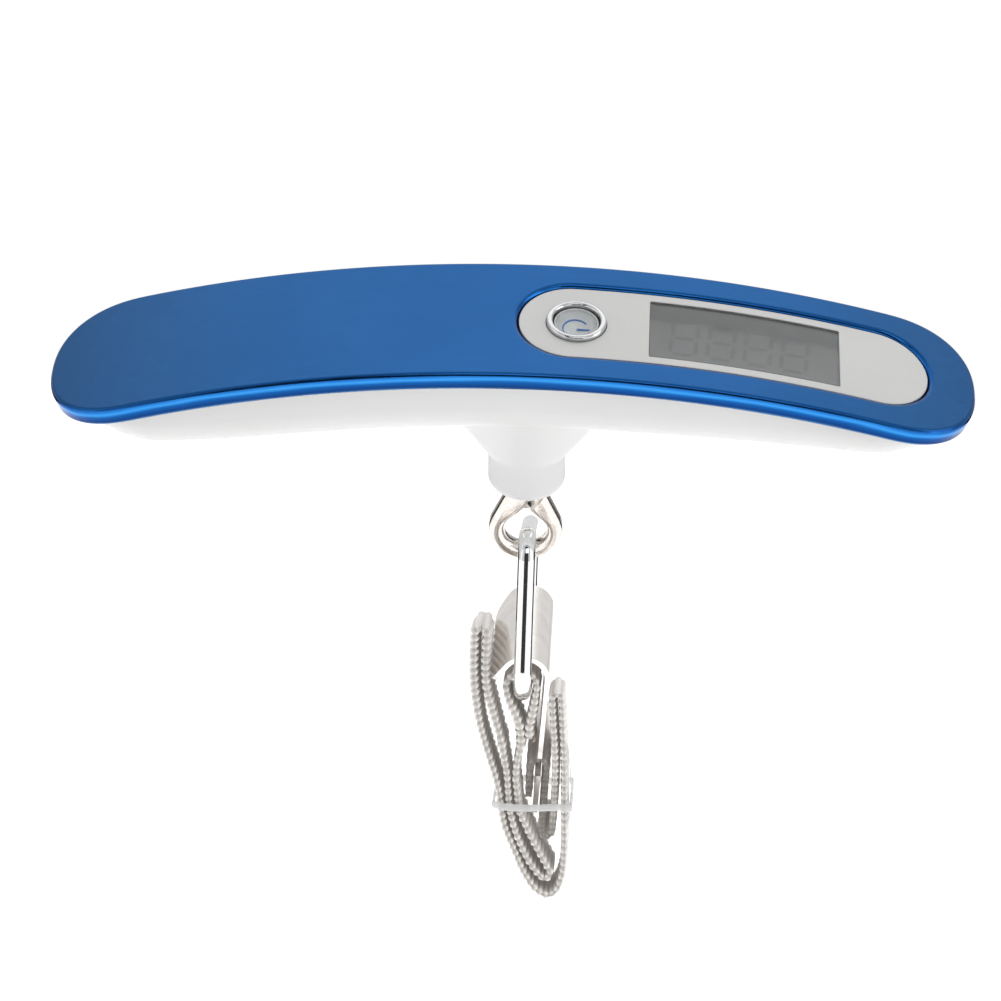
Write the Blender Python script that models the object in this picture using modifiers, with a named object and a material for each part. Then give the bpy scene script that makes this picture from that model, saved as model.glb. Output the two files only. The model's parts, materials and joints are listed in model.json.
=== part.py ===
"""Digital luggage scale: an arched handle with a display, a stem with a steel eye, a wire ring, a sheet metal
hook and a folded webbing strap. Metres, +Z up, +X along the handle towards the display, -Y towards the user.
The origin is the middle of the grip. The handle leans towards the user; the ring and strap hang plumb."""

import math

import bmesh
import bpy
import numpy as np
from mathutils import Matrix, Vector

MM = 0.001
GAP = 0.3 * MM

# Handle: an arch of radius ARCH, measured on the top of the cover. s runs along it, h away from it.
LEAN = math.radians(36.3)
ARCH = 229 * MM
TOP = 8.5 * MM
SLICE = 5 * MM
END_POWER = 2.3

COVER_ENDS = (-82.0 * MM, 76.1 * MM)
COVER_HALF = 14.9 * MM
COVER_ROUND = 15.5 * MM
COVER_PLATE = 1.2 * MM
COVER_SKIRT = 2.8 * MM
COVER_WALL = 1.2 * MM

SLOT_ENDS = (-2.0 * MM, 67.8 * MM)
SLOT_HALF = 9.2 * MM
PANEL_TOP = -0.45 * MM
PANEL_BOTTOM = -3.0 * MM
PANEL_LIP = 1.3 * MM

# Display stack, flat, in its own plane square to the arch at DISPLAY_S.
DISPLAY_S = 36 * MM
WINDOW = (32.1 * MM, 14.4 * MM)
PANE = (-1.1 * MM, -0.5 * MM)
LCD = (36 * MM, 17 * MM)
LCD_LEVELS = (-3.6 * MM, -2.0 * MM)
LIGHT_LEVELS = (-5.3 * MM, -3.9 * MM)
BOARD_X = (-32 * MM, 20 * MM)
BOARD_HALF = 10.2 * MM
BOARD_LEVELS = (-7.6 * MM, -6.6 * MM)
BOARD_SCREW = (-20.5 * MM, 7.5 * MM)

BUTTON_S = 7.8 * MM
RING_OUTER = 5.0 * MM
RING_INNER = 3.9 * MM
BUTTON_R = 3.6 * MM

# Hull below the cover.
HULL_ENDS = (-79.4 * MM, 73.9 * MM)
HULL_HALF = 13.4 * MM
HULL_ROUND = 15.0 * MM
HULL_DEPTH = 16.5 * MM
HULL_CORNER = 8.0 * MM
HULL_TIP_DEPTH = 1.8 * MM
HULL_BELLY_POWER = 1.2
HULL_RIM = -1.5 * MM
HULL_WALL = 1.8 * MM
CAVITY_BREADTH = 8 * MM
CAVITY_SHARE = 0.993

NECK_BOTTOM = TOP - 36.4 * MM
NECK_R = 6.6 * MM
NECK_SQUASH = 0.86
NECK_RIM = 2.6 * MM
# The neck spreads into the hull: level from TOP, then how far it stands out along x and along y, in mm.
NECK_FLARE = (
    (-12, 9.5, 3.8),
    (-16, 8.9, 3.6),
    (-18, 7.4, 2.8),
    (-21, 5.2, 1.8),
    (-24.2, 3.0, 0.9),
    (-25.9, 1.9, 0.5),
    (-27.2, 0.8, 0.2),
    (-28.4, 0, 0),
)
STEM_BORE = 3.6 * MM
STEM_R = 2.2 * MM

CELL_BEAM = (24 * MM, 5.0 * MM)
BEAM_TOP = TOP - 9.4 * MM
BEAM_BOTTOM = TOP - 13.2 * MM
BEAM_SCREW_X = 20 * MM

BATTERY_S = -42 * MM
BATTERY_R = 10 * MM
BATTERY_LEVELS = (-11.3 * MM, -8.1 * MM)
DOOR = (14 * MM, 10.8 * MM)

# Eye, ring, hook and strap. The ring hangs a little to the right of the eye's middle.
EYE_Z = TOP - 46.1 * MM
EYE_OUTER = 6.4 * MM
EYE_INNER = 3.75 * MM
EYE_DEPTH = 3.4 * MM
EYE_BEVEL = 0.8 * MM
WIRE_R = 1.5 * MM
BAR_X = 0.6 * MM
BAR_IN_EYE = TOP - 46.6 * MM
RING_HALF = 14.5 * MM
RING_DROP = 26.8 * MM
RING_CORNER = 4.0 * MM

HOOK_LEAN = math.radians(23.5)
HOOK_HALF = 12.5 * MM
HOOK_SHEET = 0.9 * MM
HOOK_RIDGE = (-1.0 * MM, 12.6 * MM)
HOOK_SLOT = (-25.5 * MM, -22.0 * MM)

WEB_HALF = 10 * MM
WEB_THICK = 1.25 * MM


# ---------------------------------------------------------------- scene and helpers


def clear_scene():
    for obj in list(bpy.data.objects):
        bpy.data.objects.remove(obj, do_unlink=True)


def new_collection(name):
    collection = bpy.data.collections.new(name)
    bpy.context.scene.collection.children.link(collection)
    return collection


def material(name, colour, roughness, metallic=0.0):
    found = bpy.data.materials.get(name)
    if found:
        return found
    made = bpy.data.materials.new(name)
    made.use_nodes = True
    shader = made.node_tree.nodes["Principled BSDF"]
    shader.inputs["Base Color"].default_value = (*colour, 1)
    shader.inputs["Roughness"].default_value = roughness
    shader.inputs["Metallic"].default_value = metallic
    made.diffuse_color = (*colour, 1)
    return made


BLUE = ("blue_anodised", (0.03, 0.13, 0.38), 0.3, 0.9)
WHITE = ("white_plastic", (0.8, 0.8, 0.8), 0.4)
SILVER = ("silver_panel", (0.62, 0.63, 0.63), 0.3, 0.2)
CLEAR = ("clear_plastic", (0.75, 0.78, 0.78), 0.1)
GLASS = ("lcd_grey", (0.2, 0.21, 0.2), 0.15)
CHROME = ("chrome", (0.8, 0.8, 0.8), 0.08, 1.0)
NICKEL = ("satin_nickel", (0.68, 0.63, 0.57), 0.32, 1.0)
STEEL = ("steel", (0.5, 0.5, 0.5), 0.35, 1.0)
ALUMINIUM = ("aluminium", (0.65, 0.66, 0.67), 0.4, 1.0)
GREEN = ("board_green", (0.03, 0.2, 0.08), 0.4)
BLACK = ("black_plastic", (0.03, 0.03, 0.03), 0.5)
RUBBER = ("grey_rubber", (0.12, 0.12, 0.12), 0.8)
FOIL = ("gauge_foil", (0.6, 0.35, 0.12), 0.4)
BRASS = ("brass", (0.6, 0.42, 0.14), 0.3, 1.0)
RED = ("red_insulation", (0.5, 0.03, 0.02), 0.5)
WEBBING = ("grey_webbing", (0.55, 0.54, 0.51), 0.85)


def add_object(name, mesh, look=None, collection=None, parent=None):
    obj = bpy.data.objects.new(name, mesh)
    (collection or CUTTERS).objects.link(obj)
    if look:
        obj.data.materials.clear()
        obj.data.materials.append(material(*look))
    if parent:
        obj.parent = parent
    if collection is None:
        obj.hide_render = True
        obj.display_type = "WIRE"
    return obj


def mesh_from(bm, name="shape"):
    bmesh.ops.recalc_face_normals(bm, faces=bm.faces)
    mesh = bpy.data.meshes.new(name)
    bm.to_mesh(mesh)
    bm.free()
    return mesh


def evaluated_mesh(obj):
    """The object's mesh with its modifiers applied, in its parent's frame."""
    bpy.context.view_layer.update()
    graph = bpy.context.evaluated_depsgraph_get()
    mesh = bpy.data.meshes.new_from_object(obj.evaluated_get(graph))
    mesh.transform(obj.matrix_local)
    return mesh


def box_mesh(low, high, corner=0.0, edge=0.0):
    """A box between two corners. corner rounds its upright edges, edge then rounds the rest."""
    bm = bmesh.new()
    bmesh.ops.create_cube(bm, size=1)
    size = Vector(high) - Vector(low)
    bmesh.ops.scale(bm, vec=size, verts=bm.verts)
    bmesh.ops.translate(bm, vec=(Vector(high) + Vector(low)) / 2, verts=bm.verts)
    if corner:
        upright = [e for e in bm.edges if abs((e.verts[0].co - e.verts[1].co).z) > size.z / 2]
        bmesh.ops.bevel(bm, geom=upright, offset=corner, segments=4, profile=0.5, affect="EDGES")
    if edge:
        flat = [e for e in bm.edges if e.is_manifold and e.calc_face_angle() > 1.2]
        bmesh.ops.bevel(bm, geom=flat, offset=edge, segments=1, profile=0.5, affect="EDGES")
    return mesh_from(bm)


def cylinder_mesh(radius, low, high, sides=20, centre=(0, 0), upper_radius=None):
    bm = bmesh.new()
    tall = high - low
    upper = radius if upper_radius is None else upper_radius
    bmesh.ops.create_cone(bm, cap_ends=True, segments=sides, radius1=radius, radius2=upper, depth=tall)
    bmesh.ops.translate(bm, vec=(centre[0], centre[1], low + tall / 2), verts=bm.verts)
    return mesh_from(bm)


def outline_mesh(points, low, high):
    """A flat outline in x and y, filled and extruded from low to high."""
    curve = bpy.data.curves.new("outline", "CURVE")
    curve.dimensions = "2D"
    curve.fill_mode = "BOTH"
    curve.extrude = (high - low) / 2
    spline = curve.splines.new("POLY")
    spline.points.add(len(points) - 1)
    for point, (x, y) in zip(spline.points, points):
        point.co = (x, y, 0, 1)
    spline.use_cyclic_u = True
    guide = add_object("outline", curve)
    mesh = evaluated_mesh(guide)
    bpy.data.objects.remove(guide, do_unlink=True)
    mesh.transform(Matrix.Translation((0, 0, (high + low) / 2)))
    bm = bmesh.new()
    bm.from_mesh(mesh)
    bmesh.ops.remove_doubles(bm, verts=bm.verts, dist=1e-7)
    return mesh_from(bm)


def screw_mesh(profile, sides=32, squash=1.0):
    """A profile of (radius, z), running from top to bottom, turned round Z."""
    bm = bmesh.new()
    verts = [bm.verts.new((radius, 0, z)) for radius, z in profile]
    for first, second in zip(verts, verts[1:]):
        bm.edges.new((first, second))
    mesh = bpy.data.meshes.new("profile")
    bm.to_mesh(mesh)
    bm.free()
    guide = add_object("profile", mesh)
    turn = guide.modifiers.new("turn", "SCREW")
    turn.steps = sides
    turn.render_steps = sides
    turn.use_merge_vertices = True
    turn.merge_threshold = 1e-6
    turned = evaluated_mesh(guide)
    bpy.data.objects.remove(guide, do_unlink=True)
    turned.transform(Matrix.Diagonal((1, squash, 1, 1)))
    bm = bmesh.new()
    bm.from_mesh(turned)
    bmesh.ops.remove_doubles(bm, verts=bm.verts, dist=1e-7)
    return mesh_from(bm)


def tube_mesh(points, radius, cyclic=False, resolution=2):
    curve = bpy.data.curves.new("tube", "CURVE")
    curve.dimensions = "3D"
    curve.bevel_depth = radius
    curve.bevel_resolution = resolution
    curve.use_fill_caps = True
    spline = curve.splines.new("POLY")
    spline.points.add(len(points) - 1)
    for point, place in zip(spline.points, points):
        point.co = (*place, 1)
    spline.use_cyclic_u = cyclic
    guide = add_object("tube", curve)
    mesh = evaluated_mesh(guide)
    bpy.data.objects.remove(guide, do_unlink=True)
    bm = bmesh.new()
    bm.from_mesh(mesh)
    bmesh.ops.remove_doubles(bm, verts=bm.verts, dist=1e-7)
    return mesh_from(bm)


def combine(base, others, operation):
    """The base mesh cut by, joined to or intersected with each other mesh in turn."""
    for other in others:
        guide = add_object("base", base)
        cutter = add_object("cutter", other)
        change = guide.modifiers.new("change", "BOOLEAN")
        change.operation = operation
        change.object = cutter
        base = evaluated_mesh(guide)
        bpy.data.objects.remove(guide, do_unlink=True)
        bpy.data.objects.remove(cutter, do_unlink=True)
    return base


def cut(base, *others):
    return combine(base, others, "DIFFERENCE")


def join(base, *others):
    return combine(base, others, "UNION")


def meet(base, *others):
    return combine(base, others, "INTERSECT")


def rounded(mesh, width, segments=2, angle=50):
    """The mesh with every edge sharper than angle rounded."""
    guide = add_object("rounded", mesh)
    bevel = guide.modifiers.new("bevel", "BEVEL")
    bevel.width = width
    bevel.segments = segments
    bevel.limit_method = "ANGLE"
    bevel.angle_limit = math.radians(angle)
    result = evaluated_mesh(guide)
    bpy.data.objects.remove(guide, do_unlink=True)
    return result


# ---------------------------------------------------------------- the arch


def on_arch(s, y, h):
    """The handle frame's point at s along the arch, y across and h above the top surface."""
    angle = s / ARCH
    return Vector(((ARCH + h) * math.sin(angle), y, (ARCH + h) * math.cos(angle) - ARCH + TOP))


def arch_frame(s):
    """The matrix of a flat frame that touches the arch at s."""
    return Matrix.Translation(on_arch(s, 0, 0)) @ Matrix.Rotation(s / ARCH, 4, "Y")


def bend(mesh):
    """A flat mesh, with its top at z = 0, sliced along x and wrapped over the arch."""
    bm = bmesh.new()
    bm.from_mesh(mesh)
    bmesh.ops.dissolve_limit(bm, angle_limit=0.001, verts=bm.verts, edges=bm.edges)
    low = min(v.co.x for v in bm.verts)
    high = max(v.co.x for v in bm.verts)
    for step in range(math.ceil(low / SLICE), math.floor(high / SLICE) + 1):
        bmesh.ops.bisect_plane(
            bm,
            geom=[*bm.verts, *bm.edges, *bm.faces],
            dist=1e-7,
            plane_co=(step * SLICE, 0, 0),
            plane_no=(1, 0, 0),
        )
    for vert in bm.verts:
        vert.co = on_arch(*vert.co)
    bmesh.ops.remove_doubles(bm, verts=bm.verts, dist=1e-6)
    return mesh_from(bm)


def placed(mesh, matrix):
    mesh.transform(matrix)
    return mesh


def bow_half(s, ends, half, round_length, inset=0.0):
    """Half the breadth at s of a long outline whose two ends are superellipses."""
    low, high = ends[0] + inset, ends[1] - inset
    reach = round_length - inset
    past = max(low + reach - s, s - (high - reach), 0) / reach
    return (half - inset) * max(1 - min(past, 1) ** END_POWER, 0) ** (1 / END_POWER)


def bow_outline(ends, half, round_length, inset=0.0, steps=10):
    """Points round a long outline with superellipse ends."""
    low, high = ends[0] + inset, ends[1] - inset
    reach, half = round_length - inset, half - inset
    points = []
    for end, way in ((high - reach, 1), (low + reach, -1)):
        for step in range(-steps, steps + 1):
            angle = step / steps * math.pi / 2
            along = abs(math.cos(angle)) ** (2 / END_POWER) * reach
            across = math.copysign(abs(math.sin(angle)) ** (2 / END_POWER), angle) * half
            points.append((end + way * along, way * across))
    return points


def stadium(ends, half, steps=10):
    """Points round a slot with full round ends."""
    points = []
    for end, way in ((ends[1] - half, 1), (ends[0] + half, -1)):
        for step in range(-steps, steps + 1):
            angle = step / steps * math.pi / 2
            points.append((end + way * half * math.cos(angle), way * half * math.sin(angle)))
    return points


def widened(ends, by):
    return (ends[0] - by, ends[1] + by)


# ---------------------------------------------------------------- handle shells


def top_cover():
    skirt = outline_mesh(bow_outline(COVER_ENDS, COVER_HALF, COVER_ROUND), -COVER_SKIRT, 0)
    skirt = cut(skirt, outline_mesh(stadium(SLOT_ENDS, SLOT_HALF), -2 * COVER_SKIRT, COVER_SKIRT))
    skirt = rounded(skirt, 0.7 * MM, segments=2)
    pocket = outline_mesh(
        bow_outline(COVER_ENDS, COVER_HALF, COVER_ROUND, COVER_WALL), -2 * COVER_SKIRT, -COVER_PLATE
    )
    return bend(cut(skirt, pocket))


def hull_depth(s, breadth_share):
    """Depth of the hull below the top surface: nearly even to the left, thinning to the right."""
    if s < 0:
        thin = 0.48 * (s / HULL_ENDS[0]) ** 5
    else:
        thin = 0.42 * (s / HULL_ENDS[1]) ** 2.13
    full = HULL_DEPTH * (1 - thin)
    return HULL_TIP_DEPTH + (full - HULL_TIP_DEPTH) * breadth_share**HULL_BELLY_POWER


def hull_stations():
    last = 0.985
    stops = [step * SLICE for step in range(-12, 12)]
    for end, way in ((HULL_ENDS[0] + HULL_ROUND, -1), (HULL_ENDS[1] - HULL_ROUND, 1)):
        stops += [end + way * HULL_ROUND * math.sin(t * math.pi / 2 / 7) * last for t in range(8)]
    stops = sorted(stops)
    return [b for a, b in zip([-1, *stops], stops) if b - a > 0.6 * MM]


def hull_section(s, inset, rim):
    """The (y, h) points of a U section, from the right rim round the bottom to the left rim."""
    breadth = bow_half(s, HULL_ENDS, HULL_HALF, HULL_ROUND)
    depth = hull_depth(s, breadth / HULL_HALF)
    half = breadth - inset
    bottom = -(depth - inset * 1.1)
    corner = max(0.4 * MM, min(HULL_CORNER - inset, half * 0.75, -bottom - 2.2 * MM))
    points = [(half, rim)]
    for step in range(6):
        angle = step / 5 * math.pi / 2
        across = half - corner + corner * math.cos(angle)
        points.append((across, bottom + corner - corner * math.sin(angle)))
    return points + [(-y, h) for y, h in reversed(points)]


def hull_loft(inset, rim, stops):
    bm = bmesh.new()
    rings = []
    for s in stops:
        rings.append([bm.verts.new(on_arch(s, y, h)) for y, h in hull_section(s, inset, rim)])
    for first, second in zip(rings, rings[1:]):
        for i in range(len(first)):
            j = (i + 1) % len(first)
            bm.faces.new((first[i], first[j], second[j], second[i]))
    bm.faces.new(rings[0])
    bm.faces.new(rings[-1])
    return mesh_from(bm)


def arc(centre, radius, start, end, steps):
    """Points (x, z) along an arc, angles in degrees."""
    turn = [math.radians(start + (end - start) * i / steps) for i in range(steps + 1)]
    return [(centre[0] + radius * math.cos(a), centre[1] + radius * math.sin(a)) for a in turn]


def neck_solid():
    """Oval rings from inside the hull down to the rounded rim of the neck's mouth."""
    levels = [(TOP + z * MM, NECK_R + x * MM, NECK_R * NECK_SQUASH + y * MM) for z, x, y in NECK_FLARE]
    for inset, z in arc((-NECK_RIM, NECK_BOTTOM + NECK_RIM), NECK_RIM, 0, -90, 5):
        levels.append((z, NECK_R + inset, (NECK_R + inset) * NECK_SQUASH))
    bm = bmesh.new()
    turn = [2 * math.pi * i / 36 for i in range(36)]
    rings = [[bm.verts.new((x * math.cos(a), y * math.sin(a), z)) for a in turn] for z, x, y in levels]
    for first, second in zip(rings, rings[1:]):
        for i in range(len(turn)):
            j = (i + 1) % len(turn)
            bm.faces.new((first[i], first[j], second[j], second[i]))
    bm.faces.new(rings[0])
    bm.faces.new(rings[-1])
    return mesh_from(bm)


def door_box(grow, low, high):
    half_x, half_y = DOOR[0] + grow, DOOR[1] + grow
    box = box_mesh((-half_x, -half_y, low), (half_x, half_y, high), corner=3 * MM + grow)
    return placed(box, arch_frame(BATTERY_S))


def hull_shell():
    """The hull before the battery opening is cut: skin, neck, and posts rooted in its floor."""
    stops = hull_stations()
    outer = hull_loft(0, HULL_RIM, stops)
    cavity = hull_loft(HULL_WALL, 4 * MM, [s * CAVITY_SHARE for s in stops if hull_room(s)])
    shell = cut(join(outer, neck_solid()), cavity)
    for x in (-BEAM_SCREW_X, BEAM_SCREW_X):
        shell = join(shell, cylinder_mesh(2.8 * MM, TOP - 16.4 * MM, BEAM_BOTTOM - GAP, 16, (x, 0)))
        shell = cut(shell, cylinder_mesh(1.6 * MM, TOP - 15.6 * MM, TOP - 11 * MM, 12, (x, 0)))
    for y in (-BOARD_SCREW[1], BOARD_SCREW[1]):
        post = cylinder_mesh(2.1 * MM, -14.2 * MM, BOARD_LEVELS[0] - GAP, 14, (BOARD_SCREW[0], y))
        pilot = cylinder_mesh(1.2 * MM, -12 * MM, -6 * MM, 12, (BOARD_SCREW[0], y))
        shell = cut(join(shell, on_display(post)), on_display(pilot))
    return cut(shell, cylinder_mesh(STEM_BORE, NECK_BOTTOM - 5 * MM, TOP - 12 * MM, sides=24))


def hull_room(s):
    """Whether the hull is broad enough at s to be hollow there."""
    return bow_half(s, HULL_ENDS, HULL_HALF, HULL_ROUND) > CAVITY_BREADTH


def lower_housing():
    return cut(hull_shell(), door_box(GAP, -30 * MM, -9 * MM))


def battery_door():
    return meet(hull_shell(), door_box(0, -30 * MM, -10.2 * MM))


# ---------------------------------------------------------------- display, button and board


def on_display(mesh):
    return placed(mesh, arch_frame(DISPLAY_S))


def centred_box(size, levels, centre=(0, 0), corner=0.0, edge=0.0):
    low = (centre[0] - size[0] / 2, centre[1] - size[1] / 2, levels[0])
    high = (centre[0] + size[0] / 2, centre[1] + size[1] / 2, levels[1])
    return box_mesh(low, high, corner, edge)


def lens_panel():
    face = outline_mesh(stadium(widened(SLOT_ENDS, -GAP), SLOT_HALF - GAP), PANEL_BOTTOM, PANEL_TOP)
    flange = outline_mesh(
        stadium(widened(SLOT_ENDS, PANEL_LIP), SLOT_HALF + PANEL_LIP), PANEL_BOTTOM, -COVER_PLATE - GAP
    )
    face = join(face, flange)
    face = cut(
        face,
        centred_box(WINDOW, (-6 * MM, 2 * MM), (DISPLAY_S, 0), corner=0.4 * MM),
        cylinder_mesh(RING_OUTER + GAP, -6 * MM, 2 * MM, 32, (BUTTON_S, 0)),
    )
    pocket = on_display(centred_box((LCD[0] + 2 * GAP, LCD[1] + 2 * GAP), (-8 * MM, LCD_LEVELS[1] + GAP)))
    return cut(bend(face), pocket)


def display_window():
    size = (WINDOW[0] - 2 * GAP, WINDOW[1] - 2 * GAP)
    return bend(centred_box(size, PANE, (DISPLAY_S, 0)))


def button_ring():
    body = cylinder_mesh(RING_OUTER, -2.0 * MM, 0.35 * MM, 32)
    body = rounded(body, 0.5 * MM, segments=3)
    return cut(body, cylinder_mesh(RING_INNER, -4 * MM, 2 * MM, 32))


def power_button():
    dome = 0.5 * MM
    profile = [(0, dome), (1.4 * MM, 0.42 * MM), (2.6 * MM, 0.2 * MM), (3.3 * MM, -0.1 * MM)]
    profile += [(BUTTON_R, -0.5 * MM), (BUTTON_R, -2.3 * MM), (4.4 * MM, -2.3 * MM)]
    profile += [(4.4 * MM, -2.9 * MM), (0, -2.9 * MM)]
    return screw_mesh(profile, sides=28)


def circuit_board():
    board = box_mesh((BOARD_X[0], -BOARD_HALF, BOARD_LEVELS[0]), (BOARD_X[1], BOARD_HALF, BOARD_LEVELS[1]))
    holes = [
        cylinder_mesh(1.4 * MM, -10 * MM, 0, 12, (BOARD_SCREW[0], y)) for y in (-BOARD_SCREW[1], BOARD_SCREW[1])
    ]
    return cut(board, *holes)


def cap_screw(head_r, head_h, shank_r, length, sides=14):
    """A screw with its head's underside at z = 0 and a cross in the head."""
    body = cylinder_mesh(head_r, 0, head_h, sides)
    body = join(body, cylinder_mesh(shank_r, -length, head_h / 2, sides))
    arm, width = head_r * 1.1, head_r * 0.28
    for size in ((arm, width), (width, arm)):
        body = cut(body, centred_box(size, (head_h * 0.55, head_h * 2)))
    return body


# ---------------------------------------------------------------- load cell and stem


def load_cell():
    half_x, half_y = CELL_BEAM
    beam = box_mesh((-half_x, -half_y, BEAM_BOTTOM), (half_x, half_y, BEAM_TOP), corner=1 * MM)
    holes = [cylinder_mesh(STEM_R + GAP, BEAM_BOTTOM - MM, BEAM_TOP + MM, 20)]
    for x in (-BEAM_SCREW_X, BEAM_SCREW_X):
        holes.append(cylinder_mesh(1.7 * MM, BEAM_BOTTOM - MM, BEAM_TOP + MM, 14, (x, 0)))
        holes.append(cylinder_mesh(2.9 * MM, BEAM_TOP - 2 * MM, BEAM_TOP + MM, 18, (x, 0)))
    for way in (-1, 1):
        waist = (way * 10.5 * MM, 0)
        holes.append(centred_box((7 * MM, 3 * MM), (BEAM_BOTTOM - MM, BEAM_TOP + MM), waist, 1.4 * MM))
    return cut(beam, *holes)


def tangent_angle(radius, point):
    """Angle, from +x, at which a line from a point (x, z) above right touches a circle round the origin."""
    reach = math.hypot(*point)
    return math.atan2(point[1], point[0]) - math.acos(radius / reach)


def teardrop(radius, point, steps=22):
    """A circle round the origin whose top is drawn up to a point and its mirror image."""
    start = tangent_angle(radius, point)
    turn = [start - (math.pi + 2 * start) * i / steps for i in range(steps + 1)]
    points = [(radius * math.cos(a), radius * math.sin(a)) for a in turn]
    left = (-point[0], point[1])
    return [point, *points, left] if point[0] > MM / 10 else [point, *points]


def eye_hook():
    shoulder = NECK_BOTTOM - GAP - EYE_Z
    half = EYE_DEPTH / 2
    outer = outline_mesh(teardrop(EYE_OUTER, (3.0 * MM, shoulder)), -half, half)
    hole = outline_mesh(teardrop(EYE_INNER, (0, 5.4 * MM), 16), -2 * half, 2 * half)
    slit = centred_box((0.6 * MM, 9 * MM), (-2 * half, 2 * half), (0, 4.5 * MM))
    slit.transform(Matrix.Translation((0.3 * MM, 4.6 * MM, 0)) @ Matrix.Rotation(math.radians(-34), 4, "Z"))
    eye = cut(rounded(cut(outer, hole), EYE_BEVEL), slit)
    eye.transform(Matrix.Translation((0, 0, EYE_Z)) @ Matrix.Rotation(math.pi / 2, 4, "X"))
    shank = cylinder_mesh(STEM_R, EYE_Z + shoulder - 2 * MM, BEAM_TOP + 3.4 * MM, 20)
    return join(eye, shank)


def hexagon_nut(across, low, high, bore):
    nut = cylinder_mesh(across / math.sqrt(3), low, high, 6)
    return cut(nut, cylinder_mesh(bore, low - MM, high + MM, 20))


def ring_band(outer, inner, low, high, sides=24):
    return cut(cylinder_mesh(outer, low, high, sides), cylinder_mesh(inner, low - MM, high + MM, sides))


# ---------------------------------------------------------------- battery


def contact_strip(path, width, thick):
    """A bent metal strip: a path in x and z, with thickness, extruded across y."""
    left, right = [], []
    for i, (x, z) in enumerate(path):
        before, after = path[max(i - 1, 0)], path[min(i + 1, len(path) - 1)]
        along = Vector((after[0] - before[0], after[1] - before[1])).normalized()
        left.append((x - along.y * thick / 2, z + along.x * thick / 2))
        right.append((x + along.y * thick / 2, z - along.x * thick / 2))
    strip = outline_mesh(left + right[::-1], -width / 2, width / 2)
    strip.transform(Matrix.Rotation(math.pi / 2, 4, "X"))
    return strip


# ---------------------------------------------------------------- ring, hook and strap


def bar_in_world():
    """Centre of the ring's upper bar, in world space."""
    return Matrix.Rotation(LEAN, 3, "X") @ Vector((BAR_X, 0, BAR_IN_EYE))


def ring_points():
    """The wire's centre line round the upright ring, relative to its upper bar's middle."""
    points = []
    low = -RING_DROP
    corners = ((RING_HALF, 0, 0), (-RING_HALF, 0, 90), (-RING_HALF, low, 180), (RING_HALF, low, 270))
    for y, z, start in corners:
        centre = (y - math.copysign(RING_CORNER, y), RING_CORNER + low if z < 0 else -RING_CORNER)
        points += [(0, a, b) for a, b in arc(centre, RING_CORNER, start, start + 90, 6)]
    return points


def filleted(start, corner, end, radius, steps=10):
    """Two straight runs joined by an arc, as points in x and z."""
    first = (Vector(start) - Vector(corner)).normalized()
    second = (Vector(end) - Vector(corner)).normalized()
    half = first.angle(second) / 2
    reach = radius / math.tan(half)
    middle = (first + second).normalized()
    centre = Vector(corner) + middle * (radius / math.sin(half))
    begin = Vector(corner) + first * reach - centre
    turn = math.pi - 2 * half
    way = -1 if begin.cross(Vector(corner) + second * reach - centre) < 0 else 1
    rotated = [Matrix.Rotation(way * turn * i / steps, 2) @ begin for i in range(steps + 1)]
    return [tuple(start), *[tuple(centre + r) for r in rotated], tuple(end)]


HOOK_PATH = filleted(
    (-5.2 * MM, -6.8 * MM), (4.9 * MM, 6.4 * MM), (2.6 * MM, -33.0 * MM), 3.9 * MM
)


def lip_frame():
    """The frame at the hook's tip: x up the lip, y across the sheet."""
    up = (Vector((HOOK_PATH[1][0], 0, HOOK_PATH[1][1])) - Vector((HOOK_PATH[0][0], 0, HOOK_PATH[0][1]))).normalized()
    across = Vector((0, 1, 0))
    turn = Matrix((up, across, up.cross(across))).transposed().to_4x4()
    return Matrix.Translation((HOOK_PATH[0][0], 0, HOOK_PATH[0][1])) @ turn


def corner_cutter(radius, side):
    """What rounds one corner of a sheet that starts at x = 0, on the side that y points to."""
    reach, deep = 1 * MM, 4 * MM
    corner = (radius, side * (HOOK_HALF - radius))
    outer = side * (HOOK_HALF + reach)
    low = (-reach, min(corner[1], outer), -deep)
    high = (radius, max(corner[1], outer), deep)
    return cut(box_mesh(low, high), cylinder_mesh(radius, -2 * deep, 2 * deep, 24, corner))


def hook_plate():
    """Sheet bent over the ring's lower bar, in its own frame: z down the plate from the ridge, y across."""
    plate = contact_strip(HOOK_PATH, 2 * HOOK_HALF, HOOK_SHEET)
    slot_low = (-3 * MM, -2 * HOOK_HALF, HOOK_SLOT[0])
    slot_high = (8 * MM, HOOK_HALF - 1.4 * MM, HOOK_SLOT[1])
    corners = [placed(corner_cutter(4.5 * MM, 1), lip_frame()), placed(corner_cutter(1 * MM, -1), lip_frame())]
    return cut(plate, box_mesh(slot_low, slot_high), *corners)


def u_turn(start, end, way, steps=4):
    """A half circle between two route points, in x and z, bulging to the side that way gives."""
    a, b = Vector(start[:2]), Vector(end[:2])
    centre, arm = (a + b) / 2, (a - b) / 2
    points = []
    for step in range(1, steps):
        turned = Matrix.Rotation(way * math.pi * step / steps, 2) @ arm
        share = step / steps
        rest = [start[k] + (end[k] - start[k]) * share for k in (2, 3)]
        points.append((centre.x + turned.x, centre.y + turned.y, *rest))
    return points


def flat(*points):
    """Route points in mm, square to the ring: x, z, no shift along y, no tilt."""
    return [(x, z, 0.0, 0.0) for x, z in points]


def by_hook(x, z):
    """A route point in mm given in the leaning hook's own frame."""
    oy, oz = (v / MM for v in HOOK_RIDGE)
    return (x, oz + z * math.cos(HOOK_LEAN), oy - z * math.sin(HOOK_LEAN), math.degrees(HOOK_LEAN))


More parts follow.
